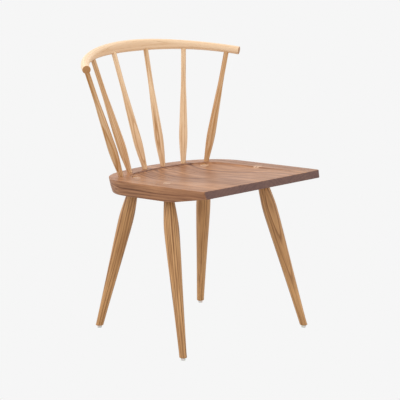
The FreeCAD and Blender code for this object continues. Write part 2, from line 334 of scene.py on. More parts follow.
@dataclass(frozen=True)
class Grain:
    """How a piece was cut from its log: where the pith runs beside it, and what its fibres follow.

    Attributes:
        to_log: Gives a vertex's place in the log, in millimetres: across, across, along the fibres.
        axis: Gives the direction of the fibres at a vertex.
        tone: How much darker than usual the piece's wood is.
    """

    to_log: Callable[[Vector], Vector]
    axis: Callable[[Vector], Vector]
    tone: float = 0.0

    def mark(self, mesh: bpy.types.Mesh) -> None:
        """Writes all three as the attributes that the wood materials read.

        Args:
            mesh: The finished mesh, in metres.
        """
        for name, kind in ((TIMBER, "FLOAT_VECTOR"), (GRAIN_AXIS, "FLOAT_VECTOR"), (TONE, "FLOAT")):
            mesh.attributes.new(name, kind, "POINT")
        log_place, fibre, shade = (mesh.attributes[name] for name in (TIMBER, GRAIN_AXIS, TONE))
        for vertex in mesh.vertices:
            place = vertex.co / MM
            log_place.data[vertex.index].vector = self.to_log(place)
            fibre.data[vertex.index].vector = self.axis(place)
            shade.data[vertex.index].value = self.tone


@dataclass(frozen=True)
class Piece:
    """What a finished piece is in the CAD model.

    Attributes:
        node: The CAD node that it stands for.
        slot: The record's material slot, which is not used.
        material: Its finish.
        grain: How its wood was cut, or None.
    """

    node: str
    slot: str
    material: bpy.types.Material
    grain: Grain | None = None

    def hand_in(self, mesh: bpy.types.Mesh) -> bpy.types.Object:
        """Args:
            mesh: The finished mesh, in its place on the chair.

        Returns:
            The object of the piece.
        """
        mesh.name = self.node + "_mesh"
        mesh.materials.clear()
        mesh.materials.append(self.material)
        for face in mesh.polygons:
            face.material_index = 0
        mesh.shade_smooth()
        mesh.set_sharp_from_angle(angle=SHARP_OVER)
        if self.grain:
            self.grain.mark(mesh)
        body = bpy.data.objects.new("look_" + self.node, mesh)
        bpy.context.scene.collection.objects.link(body)
        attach(body, ROOT)
        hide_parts(self.node)
        log.info("%s: %d faces", self.node, len(mesh.polygons))
        return body


# Turned pieces


class RunKind(Enum):
    """How a stretch of a turning passes its stations."""

    STRAIGHT = "straight"
    FLOWING = "flowing"


@dataclass(frozen=True)
class Run:
    """A stretch of a turning's outline.

    Attributes:
        names: The stations that it passes, in order.
        rings: How many rings of vertices it gets.
        kind: Straight between two stations, or flowing through all of them.
    """

    names: tuple[str, ...]
    rings: int = 2
    kind: RunKind = RunKind.STRAIGHT


def chain(*names: str) -> tuple[Run, ...]:
    """Straight runs from each of the named stations to the next."""
    return tuple(Run(pair) for pair in zip(names, names[1:]))


def run_curve(tree: bpy.types.NodeTree, run: Run, known: dict[str, Any]) -> bpy.types.Node:
    """Adds the nodes of one stretch of an outline.

    Args:
        tree: The tree that gets them.
        run: The stretch.
        known: The nodes that give the place of each station and the index, by name.

    Returns:
        The node that gives the stretch as a curve.
    """
    if run.kind is RunKind.STRAIGHT:
        first, last = (known[name] for name in run.names)
        path = add_node(tree, "GeometryNodeCurvePrimitiveLine", {"Start": first, "End": last})
    else:
        pick = add_node(tree, "GeometryNodeIndexSwitch", {"Index": known["index"]}, data_type="VECTOR")
        while len(pick.index_switch_items) < len(run.names):
            pick.index_switch_items.new()
        for number, name in enumerate(run.names):
            tree.links.new(known[name].outputs[0], pick.inputs[f"{number}"])
        dots = add_node(tree, "GeometryNodePoints", {"Count": len(run.names), "Position": pick})
        through = add_node(tree, "GeometryNodePointsToCurves", {"Points": dots})
        path = add_node(tree, "GeometryNodeCurveSplineType", {"Curve": through}, spline_type="CATMULL_ROM")
    return add_node(tree, "GeometryNodeResampleCurve", {"Curve": path, "Count": run.rings})


def turning_tree(title: str, runs: Sequence[Run]) -> bpy.types.NodeTree:
    """Builds the geometry nodes that turn an outline about +Z.

    Args:
        title: The name of the tree.
        runs: The stretches of the outline, end to end.

    Returns:
        A tree with a height and a diameter for each station, the number of sides and the material.
    """
    names = list(dict.fromkeys(name for run in runs for name in run.names))
    measures = [f"{name} {measure}" for name in names for measure in ("Height", "Diameter")]
    tree = start_shape(title, measures, ["Sides"])
    known: dict[str, Any] = {socket.name: socket for socket in add_node(tree, "NodeGroupInput").outputs}
    known["index"] = add_node(tree, "GeometryNodeInputIndex")
    for name in names:
        add_steps(tree, (
            (name + " Radius", MATH, "MULTIPLY", name + " Diameter", 0.5),
            (name, "ShaderNodeCombineXYZ", "", {"X": name + " Radius", "Z": name + " Height"}),
        ), known)
    outline = run_curve(tree, runs[0], known)
    for run in runs[1:]:
        join = add_node(tree, "GeometryNodeJoinGeometry", {"Geometry": run_curve(tree, run, known)})
        tree.links.new(outline.outputs[0], join.inputs[0])
        outline = join
    size = add_node(tree, "GeometryNodeAttributeDomainSize", {"Geometry": outline}, component="CURVE")
    known["rings"] = size.outputs["Point Count"]
    add_steps(tree, (
        ("columns", WHOLE, "ADD", "Sides", 1),
        ("ring", WHOLE, "MODULO", "index", "rings"),
        ("side", WHOLE, "DIVIDE_FLOOR", "index", "rings"),
        ("share", MATH, "DIVIDE", "side", "Sides"),
        ("angle", MATH, "MULTIPLY", "share", TAU),
    ), known)
    counts = {"Vertices X": known["columns"], "Vertices Y": known["rings"]}
    grid = add_node(tree, "GeometryNodeMeshGrid", counts)
    position = add_node(tree, "GeometryNodeInputPosition")
    sources = {"Geometry": outline, "Value": position, "Index": known["ring"]}
    on_outline = add_node(tree, "GeometryNodeSampleIndex", sources, data_type="FLOAT_VECTOR", domain="POINT")
    turned = add_node(tree, "ShaderNodeVectorRotate", {"Vector": on_outline, "Angle": known["angle"]},
                      rotation_type="Z_AXIS")
    end_shape(tree, grid, turned, known["Material"])
    return tree


@dataclass
class Lathe:
    """Turns one kind of piece with its own tree.

    Attributes:
        title: The name of the kind of piece.
        runs: The stretches of its outline.
        material: Its finish.
        sides: Sides of each ring.
    """

    title: str
    runs: tuple[Run, ...]
    material: bpy.types.Material
    sides: int = 56

    def __post_init__(self) -> None:
        """Builds the tree once for all pieces of the kind."""
        self.tree = turning_tree(self.title, self.runs)

    def turn(self, stations: dict[str, tuple[float, float]], grow_by: float = 0.0) -> bpy.types.Mesh:
        """Turns a piece about +Z.

        Args:
            stations: The height and diameter at each station, in millimetres.
            grow_by: How much thicker all round, for a tool.

        Returns:
            A closed mesh, still in millimetres.
        """
        sizes: dict[str, Any] = {"Sides": self.sides, "Material": self.material}
        for name, (height, diameter) in stations.items():
            sizes[name + " Height"] = float(height)
            sizes[name + " Diameter"] = float(diameter + 2 * grow_by if diameter else 0)
        return mend(grow(self.tree, sizes))


@dataclass(frozen=True)
class Cut:
    """Where a straight turned piece lay in its log.

    Attributes:
        pith_across: How far beside the piece's axis the pith runs.
        pith_turn: Which way the pith lies from the axis, in degrees.
        along: Where in the log the piece starts.
        tone: How much darker than usual its wood is.
    """

    pith_across: float
    pith_turn: float
    along: float
    tone: float

    def grain(self, place: Matrix) -> Grain:
        """The grain of the piece, which runs along its axis.

        Args:
            place: Where the piece stands, in millimetres.

        Returns:
            The grain.
        """
        back = Matrix.Rotation(math.radians(-self.pith_turn), 4, "Z") @ place.inverted()
        shift = Vector((-self.pith_across, 0, self.along))
        fibres = (place.to_3x3() @ Vector((0, 0, 1))).normalized()

        def to_log(point: Vector) -> Vector:
            """The place in the log of a point on the chair."""
            return back @ point + shift

        def axis(_: Vector) -> Vector:
            """The direction of the fibres, the same all over the piece."""
            return fibres

        return Grain(to_log, axis, self.tone)


# The seat's plan


@dataclass(frozen=True)
class SeatPlan:
    """Outline, slope and saddle of the seat. u runs across, v back from the front edge, w square to the rim.

    Attributes:
        front_height: Height of the front edge over the floor.
        slope_deg: How far the seat slopes down to the back.
        depth: From the front edge to the rear edge.
        front_width: Width at the front edge.
        back_width: Width at the rear corners.
        back_radius: Radius of the rear edge.
        corner_radius: Radius of the rear corners.
        thickness: Thickness of the board.
        band_height: Height of the upright band round the edge.
        front_lean_deg: How far the front face leans forward towards its foot.
        rim_width: Width of the flat rim beside and behind the saddle.
        saddle_back: Full depth of the saddle, from saddle_full_at on.
        saddle_front: Depth of the saddle at the front edge.
        saddle_full_at: Where on v the saddle has its full depth.
        wall_lean_deg: How far the saddle's wall leans from upright.
        wall_share: Share of the depth that the wall takes; the bowl takes the rest.
        bowl_width: How far inside the saddle's outline the bowl has its full depth.
        bowl_power: How softly the bowl runs out, 1 for a straight slope.
    """

    front_height: float = 445.0
    slope_deg: float = 3.7
    depth: float = 460.5
    front_width: float = 414.5
    back_width: float = 424.0
    back_radius: float = 400.0
    corner_radius: float = 140.0
    thickness: float = 39.5
    band_height: float = 19.5
    front_lean_deg: float = 14.0
    rim_width: float = 54.0
    saddle_back: float = 12.0
    saddle_front: float = 0.6
    saddle_full_at: float = 280.0
    wall_lean_deg: float = 40.0
    wall_share: float = 0.27
    bowl_width: float = 130.0
    bowl_power: float = 2.0

    @cached_property
    def front_lean(self) -> float:
        """How far the front face comes forward for each millimetre down."""
        return math.tan(math.radians(self.front_lean_deg))

    @cached_property
    def back_centre(self) -> float:
        """Where the centre of the back's arc lies on v."""
        return self.depth - self.back_radius

    @cached_property
    def corner_centre(self) -> tuple[float, float]:
        """Centre of the left rear corner's arc."""
        u = self.back_width / 2 - self.corner_radius
        return u, self.back_centre + math.sqrt((self.back_radius - self.corner_radius) ** 2 - u ** 2)

    @cached_property
    def join_angle(self) -> float:
        """Angle from straight back at which the back's arc hands over to the corner's."""
        u, v = self.corner_centre
        return math.atan2(u, v - self.back_centre)

    @cached_property
    def to_chair(self) -> Matrix:
        """How the seat lies on the chair.

        Returns:
            The turn and move from the seat's own directions to the chair's, in millimetres.
        """
        slope = Matrix.Rotation(-math.radians(self.slope_deg), 4, "X")
        foremost = slope @ Vector((0, -self.band_height * self.front_lean, -self.band_height))
        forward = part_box("seat")[0].y / MM - foremost.y
        return Matrix.Translation((0, forward, self.front_height)) @ slope

    def side_u(self, v: float) -> float:
        """Half width of the outline at v, in front of the rear corners."""
        share = 1 - max(v, 0.0) / self.corner_centre[1]
        return self.back_width / 2 - (self.back_width - self.front_width) / 2 * share ** 2

    def saddle_inside(self, u: float, v: float) -> float:
        """How far a place lies inside the saddle's outline.

        Args:
            u: Its place across.
            v: Its place back from the front edge.

        Returns:
            The distance, below 0 on the rim.
        """
        cu, cv = self.corner_centre
        if v < cv:
            return self.side_u(v) - self.rim_width - abs(u)
        if math.atan2(abs(u), v - self.back_centre) < self.join_angle:
            return self.back_radius - self.rim_width - math.hypot(u, v - self.back_centre)
        return self.corner_radius - self.rim_width - math.hypot(abs(u) - cu, v - cv)

    def bowl_w(self, u: float, v: float) -> float:
        """Height of the saddle's bowl, which starts at the foot of the saddle's wall.

        Args:
            u: A place across.
            v: A place back from the front edge.

        Returns:
            The height, below 0 for a hollow.
        """
        share = min(max(v / self.saddle_full_at, 0.0), 1.0)
        depth = self.saddle_front + (self.saddle_back - self.saddle_front) * share ** 2 * (3 - 2 * share)
        left = max(1 - self.saddle_inside(u, v) / self.bowl_width, 0.0)
        return -depth * (1 - (1 - self.wall_share) * left ** self.bowl_power)

    def wall_foot(self, u: float, v: float) -> float:
        """How far inside the saddle's outline its wall meets the bowl, near a place on the outline."""
        return -self.bowl_w(u, v) * math.tan(math.radians(self.wall_lean_deg))

    def top_w(self, u: float, v: float) -> float:
        """Height of the seat's top: 0 on the rim, down the leaning wall, and then the bowl.

        Args:
            u: A place across.
            v: A place back from the front edge.

        Returns:
            The height.
        """
        inside = self.saddle_inside(u, v)
        if inside <= 0:
            return 0.0
        return max(-inside / math.tan(math.radians(self.wall_lean_deg)), self.bowl_w(u, v))


@dataclass
class SeatBoard:
    """The saddled board, with its edge band, bevelled underside and open sockets.

    Attributes:
        plan: Outline, slope and saddle.
        material: Its finish.
        corner: Radius of the front corners.
        band_inset: How far the band's foot lies inside its head, at the sides and back.
        underside_inset: How far inside the outline the flat underside starts there.
        front_bevel: Where on v the flat underside starts.
        rim_easing: Rounding of the upper edge.
        easing_turns: How far round the upper edge each ring lies, in degrees.
        band_easing: Softening of the band's foot.
        band_levels: How far down the band its rings lie.
        underside_easing: Softening of the underside's edge.
        front_points: Places along the front edge; each ring has as many.
        corner_points: Places round each front corner.
        side_points: Places along each side.
        rear_corner_points: Places round each rear corner.
        back_points: Places along the rear edge.
        bowl_reach: How far inside the saddle's outline the rings of its middle start.
        inner_front: Where on v these rings start.
        outline_front: Where on v the saddle's outline runs along the front.
        middle_rings: Rings over the middle of the bowl.
        bowl_rings: Rings from there to the wall's foot.
        wall_rings: Rings up the wall.
        rim_rings: Rings over the flat rim.
        bevel_rings: Rings over the bevelled underside.
        underside_rings: Rings over the flat underside.
        pith_below: How far under the seat the pith of the log ran.
        pith_to_side: How far beside the middle it ran.
        grain_start: Where in the log the front edge lay.
    """

    plan: SeatPlan
    material: bpy.types.Material
    corner: float = 9.0
    band_inset: float = 3.0
    underside_inset: float = 8.0
    front_bevel: float = 130.0
    rim_easing: float = 0.8
    easing_turns: tuple[float, ...] = (30.0, 60.0, 90.0)
    band_easing: float = 1.0
    band_levels: tuple[float, ...] = (0.35, 0.65)
    underside_easing: float = 3.0
    front_points: int = 56
    corner_points: int = 7
    side_points: int = 52
    rear_corner_points: int = 30
    back_points: int = 60
    bowl_reach: float = 100.0
    inner_front: float = 30.0
    outline_front: float = 10.0
    middle_rings: int = 26
    bowl_rings: int = 26
    wall_rings: int = 2
    rim_rings: int = 9
    bevel_rings: int = 12
    underside_rings: int = 12
    pith_below: float = 74.0
    pith_to_side: float = 6.0
    grain_start: float = 310.0

    def loop(self, inset: float, front_v: float) -> list[tuple[float, float]]:
        """One turn round the seat, inside its outline.

        Args:
            inset: How far inside the sides and back.
            front_v: Where the front line lies.

        Returns:
            Places in the seat's plane, always as many.
        """
        plan = self.plan
        cu, cv = plan.corner_centre
        half_front = plan.side_u(front_v) - inset
        half_back = plan.back_width / 2 - inset
        start = self.corner / (cv - front_v)
        side_start = half_back - (half_back - half_front) * (1 - start) ** 2
        half = self.front_points // 2
        right = [((side_start - self.corner) * i / half, front_v) for i in range(half + 1)]
        for i in range(1, self.corner_points + 1):
            turn = math.pi / 2 * i / self.corner_points
            u = side_start - self.corner * (1 - math.sin(turn))
            right.append((u, front_v + self.corner * (1 - math.cos(turn))))
        for i in range(1, self.side_points + 1):
            t = start + (1 - start) * i / self.side_points
            right.append((half_back - (half_back - half_front) * (1 - t) ** 2, front_v + (cv - front_v) * t))
        radius = plan.corner_radius - inset
        for i in range(1, self.rear_corner_points + 1):
            turn = math.pi / 2 - (math.pi / 2 - plan.join_angle) * i / self.rear_corner_points
            right.append((cu + radius * math.sin(turn), cv + radius * math.cos(turn)))
        radius = plan.back_radius - inset
        for i in range(1, self.back_points // 2 + 1):
            turn = plan.join_angle * (1 - 2 * i / self.back_points)
            right.append((radius * math.sin(turn), plan.back_centre + radius * math.cos(turn)))
        return right + [(-u, v) for u, v in right[-2:0:-1]]

    def on_top(self, u: float, v: float) -> Vector:
        """A place of the board's top."""
        return Vector((u, v, self.plan.top_w(u, v)))

    def top_rings(self) -> list[list[Vector]]:
        """Places the rings of the top.

        Returns:
            The rings, from its middle over the bowl and the saddle's wall to the rim's easing.
        """
        plan = self.plan
        outline = self.loop(plan.rim_width, self.outline_front)
        inner = self.loop(plan.rim_width + self.bowl_reach, self.inner_front)
        middle = sum(v for u, v in inner) / len(inner)
        rings = []
        for i in range(1, self.middle_rings + 1):
            share = i / self.middle_rings
            rings.append([self.on_top(u * share, middle + (v - middle) * share) for u, v in inner])
        feet = [plan.wall_foot(u, v) / self.bowl_reach for u, v in outline]
        steps = [(1 - i / self.bowl_rings, 1.0) for i in range(1, self.bowl_rings + 1)]
        steps += [(0.0, 1 - i / self.wall_rings) for i in range(1, self.wall_rings + 1)]
        for in_bowl, in_wall in steps:
            shares = [foot * in_wall + (1 - foot) * in_bowl for foot in feet]
            rings.append([self.on_top(u + (inner_u - u) * share, v + (inner_v - v) * share)
                          for (u, v), (inner_u, inner_v), share in zip(outline, inner, shares)])
        for i in range(1, self.rim_rings + 1):
            share = i / self.rim_rings
            line = self.loop(plan.rim_width + (self.rim_easing - plan.rim_width) * share,
                             self.outline_front + (self.rim_easing - self.outline_front) * share)
            rings.append([self.on_top(u, v) for u, v in line])
        return rings

    def rings(self) -> list[list[Vector]]:
        """Places the rings of the whole board.

        Returns:
            The rings, from the middle of the top to the middle of the underside, with as many places each.
        """
        plan = self.plan
        whole = self.loop(0, 0)
        rings = self.top_rings()
        edge = [plan.top_w(u, v) for u, v in whole]
        for turn_deg in self.easing_turns:
            turn = math.radians(turn_deg)
            back_off = self.rim_easing * (1 - math.sin(turn))
            drop = self.rim_easing * (1 - math.cos(turn))
            share = drop / plan.band_height
            line = self.loop(back_off + self.band_inset * share, back_off - plan.front_lean * drop)
            rings.append([Vector((u, v, top_w - drop)) for (u, v), top_w in zip(line, edge)])
        start = [top_w - self.rim_easing for top_w in edge]
        for share in (*self.band_levels, 1 - self.band_easing / plan.band_height):
            line = self.loop(self.band_inset * share, -plan.band_height * plan.front_lean * share)
            drop = (plan.band_height * share - self.rim_easing) / (plan.band_height - self.rim_easing)
            rings.append([Vector((u, v, w + (-plan.band_height - w) * drop))
                          for (u, v), w in zip(line, start)])
        foot = self.loop(self.band_inset, -plan.band_height * plan.front_lean)
        under = self.loop(self.underside_inset, self.front_bevel)
        foot_ring = [Vector((u, v, -plan.band_height)) for u, v in foot]
        under_ring = [Vector((u, v, -plan.thickness)) for u, v in under]
        shares = []
        for start_point, end_point in zip(foot_ring, under_ring):
            length = (end_point - start_point).length
            shares.append((self.band_easing / length, 1 - self.underside_easing / length))
        for i in range(self.bevel_rings + 1):
            step = i / self.bevel_rings
            rings.append([a.lerp(b, low + (high - low) * step)
                          for a, b, (low, high) in zip(foot_ring, under_ring, shares)])
        centre = Vector((0, sum(p.y for p in under_ring) / len(under_ring), -plan.thickness))
        inward = [(centre - p).normalized() * self.underside_easing for p in under_ring]
        last = rings[-1]
        for t in (1 / 3, 2 / 3, 1):
            rings.append([a.lerp(b, t).lerp(b.lerp(b + c, t), t)
                          for a, b, c in zip(last, under_ring, inward)])
        last = rings[-1]
        for i in range(1, self.underside_rings):
            rings.append([p.lerp(centre, i / self.underside_rings) for p in last])
        return rings

    def board(self) -> bpy.types.Mesh:
        """Makes the board.

        Returns:
            The closed mesh in its place, in millimetres.
        """
        rings = self.rings()
        count = len(rings[0])
        points = [point for ring in rings for point in ring]
        faces: list[tuple[int, ...]] = []
        for i in range(len(rings) - 1):
            for j in range(count):
                k = (j + 1) % count
                faces.append((i * count + j, i * count + k, (i + 1) * count + k, (i + 1) * count + j))
        for ring, first in ((rings[0], 0), (rings[-1], (len(rings) - 1) * count)):
            pole = sum(ring, Vector()) / count
            if first == 0:
                pole.z = self.plan.top_w(pole.x, pole.y)
            points.append(pole)
            faces += [(len(points) - 1, first + j, first + (j + 1) % count) for j in range(count)]
        mesh = bpy.data.meshes.new("board")
        mesh.from_pydata([self.plan.to_chair @ point for point in points], [], faces)
        return mend(mesh)

    def build(self, sockets: Sequence[bpy.types.Mesh]) -> None:
        """Makes the seat, cuts its sockets and hands it in.

        Args:
            sockets: Closed tools in millimetres, one for each leg and spindle.
        """
        mesh = carve(self.board(), joined(sockets), Carving.OUTSIDE)
        mesh.transform(TO_METRES)
        to_seat = self.plan.to_chair.inverted()
        fibres = (self.plan.to_chair.to_3x3() @ Vector((0, 1, 0))).normalized()
        shift = Vector((self.pith_to_side, self.pith_below, self.grain_start))

        def to_log(point: Vector) -> Vector:
            """Where a place of the board lay in its log."""
            u, v, w = to_seat @ point
            return Vector((u, w, v)) + shift

        def axis(_: Vector) -> Vector:
            """The direction of the fibres, straight back all over the board."""
            return fibres

        Piece("seat", "seat_walnut", self.material, Grain(to_log, axis)).hand_in(mesh)


# Legs with their wedges and glides


# A leg's outline from its foot up
LEG_RUNS = (
    Run(("Foot Centre", "Foot"), 6),
    Run(("Foot", "Ankle"), 4),
    Run(("Ankle", "Shin", "Calf", "Waist", "Thigh", "Belly", "Shoulder", "Neck"), 80, RunKind.FLOWING),
    Run(("Neck", "Tenon End"), 8),
    Run(("Tenon End", "Tenon Centre"), 6),
)


@dataclass
class Leg:
    """One turned leg and the walnut wedge in its tenon.

    Attributes:
        name: Which leg it is.
        u: Where the tenon comes through the seat's top, across it.
        v: Where it comes through, from the front edge.
        splay_deg: How far the leg leans out to its side, towards its foot.
        rake_deg: How far it leans back towards its foot; below 0 for forward.
        cut: Where it lay in its log.
        plan: The seat's plan.
        glide_height: Height of the foot over the floor.
        tenon_top: Diameter of the tenon's upper end.
        neck: Diameter at the seat's underside.
        ankle: Diameter of the leg's lower end.
        ankle_drop: How far below the seat's underside the lower end's even part starts.
        body: Name, drop below the seat's underside and diameter of the stations between neck and ankle.
        end_easing: Rounding of the foot's edge.
        easing_steps: Faces across that rounding.
        wedge_depth: How deep the wedge goes into the tenon.
        wedge_top: Thickness of the wedge's upper end.
        wedge_tip: Thickness of its lower end.
        trim_steps: How often the tenon's end is moved nearer to the saddle's surface.
    """

    name: str
    u: float
    v: float
    splay_deg: float
    rake_deg: float
    cut: Cut
    plan: SeatPlan
    glide_height: float = 7.0
    tenon_top: float = 23.0
    neck: float = 26.0
    ankle: float = 19.4
    ankle_drop: float = 392.5
    body: tuple[tuple[str, float, float], ...] = (
        ("Shoulder", 37.5, 34.2), ("Belly", 77.5, 39.3), ("Thigh", 137.5, 36.6), ("Waist", 197.5, 32.2),
        ("Calf", 257.5, 27.8), ("Shin", 317.5, 23.8))
    end_easing: float = 1.5
    easing_steps: int = 3
    wedge_depth: float = 28.0
    wedge_top: float = 3.2
    wedge_tip: float = 0.8
    trim_steps: int = 12

    def __post_init__(self) -> None:
        """Finds the leg's line from where its tenon comes through the seat."""
        to_chair = self.plan.to_chair
        top = to_chair @ Vector((self.u, self.v, 0))
        outward = math.copysign(math.tan(math.radians(self.splay_deg)), self.u)
        line = Vector((-outward, -math.tan(math.radians(self.rake_deg)), 1))
        self.end = top - line * (top.z - self.glide_height)
        self.direction = line.normalized()
        self.normal = (to_chair.to_3x3() @ Vector((0, 0, 1))).normalized()
        self.tenon = self.plan.thickness / self.direction.dot(self.normal)
        self.place = standing_on(top - self.direction * self.tenon, self.direction)
        self.foot = -(self.place.translation - self.end).length

    def stations(self, past: float) -> dict[str, tuple[float, float]]:
        """The leg's outline from its foot up.

        Args:
            past: How far the tenon goes on past the seat's top.

        Returns:
            Height from the seat's underside and diameter of each station.
        """
        over = self.tenon + past
        over_thick = self.neck + (self.tenon_top - self.neck) * over / self.tenon
        found = {"Foot Centre": (self.foot, 0.0), "Foot": (self.foot, self.ankle),
                 "Ankle": (-self.ankle_drop, self.ankle), "Neck": (0.0, self.neck),
                 "Tenon End": (over, over_thick), "Tenon Centre": (over, 0.0)}
        return found | {name: (-drop, thick) for name, drop, thick in self.body}

    def socket(self, lathe: Lathe) -> bpy.types.Mesh:
        """Makes the tool that cuts the leg's socket in the seat.

        Args:
            lathe: Turns legs.

        Returns:
            The closed tool in its place, in millimetres.
        """
        mesh = lathe.turn(self.stations(self.plan.thickness / 2), GLUE_GAP)
        mesh.transform(self.place)
        return mesh

    def trimmed(self, lathe: Lathe) -> bpy.types.Mesh:
        """Turns the leg, trims its tenon flush with the seat's top, and levels and eases its foot.

        Args:
            lathe: Turns legs.

        Returns:
            The closed leg about +Z, in millimetres.
        """
        mesh = lathe.turn(self.stations(0))
        to_seat = self.plan.to_chair.inverted()
        work = bmesh.new()
        work.from_mesh(mesh)
        rim = {point for point in work.verts if abs(point.co.z - self.foot) < TOUCHING
               and abs(point.co.xy.length - self.ankle / 2) < TOUCHING}
        foot_edges = [edge for edge in work.edges if rim.issuperset(edge.verts)]
        for point in work.verts:
            at_foot = point.co.z < self.foot + TOUCHING
            at_top = point.co.z > self.tenon - TOUCHING
            point.co = self.place @ point.co
            if at_foot:
                point.co += self.direction * (self.glide_height - point.co.z) / self.direction.z
            for _ in range(self.trim_steps if at_top else 0):
                u, v, w = to_seat @ point.co
                point.co += self.direction * (self.plan.top_w(u, v) - w) / self.direction.dot(self.normal)
        ease(work, foot_edges, self.end_easing, self.easing_steps)
        work.to_mesh(mesh)
        work.free()
        mesh.transform(self.place.inverted())
        return mend(mesh)

    def wedge_tool(self) -> bpy.types.Mesh:
        """Makes the wedge as a long flat taper across the tenon.

        Returns:
            The closed taper about +Z, in millimetres.
        """
        tip = self.tenon - self.wedge_depth
        over = self.tenon + self.wedge_depth / 2
        thick = self.wedge_tip + (self.wedge_top - self.wedge_tip) * (over - tip) / self.wedge_depth
        points = [(side * self.neck, face * half, height)
                  for height, half in ((tip, self.wedge_tip / 2), (over, thick / 2))
                  for side, face in ((-1, -1), (1, -1), (1, 1), (-1, 1))]
        sides = [(i, (i + 1) % 4, (i + 1) % 4 + 4, i + 4) for i in range(4)]
        mesh = bpy.data.meshes.new("wedge_tool")
        mesh.from_pydata(points, [], [(0, 1, 2, 3), (4, 5, 6, 7), *sides])
        return mend(mesh)

    def build(self, lathe: Lathe, wedge_wood: bpy.types.Material, nail_hole: bpy.types.Mesh) -> None:
        """Makes the leg and its wedge and hands them in.

        Args:
            lathe: Turns legs.
            wedge_wood: The wedge's finish.
            nail_hole: The tool that cuts the nail's hole.
        """
        whole = self.trimmed(lathe)
        tool = self.wedge_tool()
        nail_hole.transform(self.place.inverted())
        wedge = carve(whole.copy(), tool.copy(), Carving.INSIDE)
        leg = carve(carve(whole, tool, Carving.OUTSIDE), nail_hole, Carving.OUTSIDE)
        grain = self.cut.grain(self.place)
        for mesh in (leg, wedge):
            mesh.transform(TO_METRES @ self.place)
        Piece("leg_" + self.name, "leg_ash", lathe.material, grain).hand_in(leg)
        Piece("leg_wedge_" + self.name, "wedge_walnut", wedge_wood, grain).hand_in(wedge)


@dataclass
class Glide:
    """A nylon button with a rounded lower rim, and the steel nail in its recess.

    Attributes:
        name: The leg that it is under.
        foot: The middle of the leg's foot.
        nylon: Turns buttons.
        steel: Turns nails.
        diameter: Diameter of the button.
        height: Height of the button.
        edge_radius: Rounding of its lower rim.
        shank: Diameter of the nail's shank.
        nail_length: Length of the nail.
        head: Diameter of the nail's head.
        head_height: Thickness of the nail's head.
        recess: How deep in the button the nail's head lies.
    """

    name: str
    foot: Vector
    nylon: Lathe
    steel: Lathe
    diameter: float = 12.0
    height: float = 7.0
    edge_radius: float = 1.2
    shank: float = 2.4
    nail_length: float = 16.0
    head: float = 5.0
    head_height: float = 1.2
    recess: float = 3.0

    RUNS = chain("Hole Top", "Hole Foot", "Head Roof", "Recess Foot", "Sole", "Edge 1", "Edge 2", "Edge 3",
                 "Rim", "Hole Top")
    NAIL_RUNS = chain("Head Centre", "Head Foot", "Head Top", "Shank Foot", "Shank Top", "Tip")

    def button(self) -> bpy.types.Mesh:
        """Turns the nylon button.

        Returns:
            The closed button about +Z, in millimetres.
        """
        hole = self.shank + 2 * NAIL_GAP
        head = self.head + 2 * NAIL_GAP
        roof = self.recess + self.head_height + NAIL_GAP
        stations = {"Hole Top": (self.height, hole), "Hole Foot": (roof, hole), "Head Roof": (roof, head),
                    "Recess Foot": (0.0, head), "Sole": (0.0, self.diameter - 2 * self.edge_radius),
                    "Rim": (self.height, self.diameter)}
        for number in (1, 2, 3):
            turn = math.pi / 6 * number
            stations[f"Edge {number}"] = (self.edge_radius * (1 - math.cos(turn)),
                                          self.diameter - 2 * self.edge_radius * (1 - math.sin(turn)))
        return self.nylon.turn(stations)

    def nail(self, grow_by: float) -> bpy.types.Mesh:
        """Turns the nail, or the hole that it needs.

        Args:
            grow_by: How much bigger all round, 0 for the nail.

        Returns:
            The closed mesh in its place, in millimetres.
        """
        top = self.recess + self.head_height + grow_by
        tip = self.recess + self.nail_length + grow_by
        mesh = self.steel.turn({"Head Centre": (self.recess, 0.0), "Head Foot": (self.recess, self.head),
                                "Head Top": (top, self.head), "Shank Foot": (top, self.shank),
                                "Shank Top": (tip, self.shank), "Tip": (tip, 0.0)}, grow_by)
        mesh.transform(Matrix.Translation((self.foot.x, self.foot.y, 0)))
        return mesh

    def build(self) -> None:
        """Makes the glide and its nail and hands them in."""
        button = self.button()
        button.transform(Matrix.Translation((self.foot.x, self.foot.y, 0)))
        nail = self.nail(0)
        for mesh in (button, nail):
            mesh.transform(TO_METRES)
        Piece("glide_" + self.name, "glide_nylon", self.nylon.material).hand_in(button)
        Piece("glide_nail_" + self.name, "nail_steel", self.steel.material).hand_in(nail)


# Spindles and crest rail


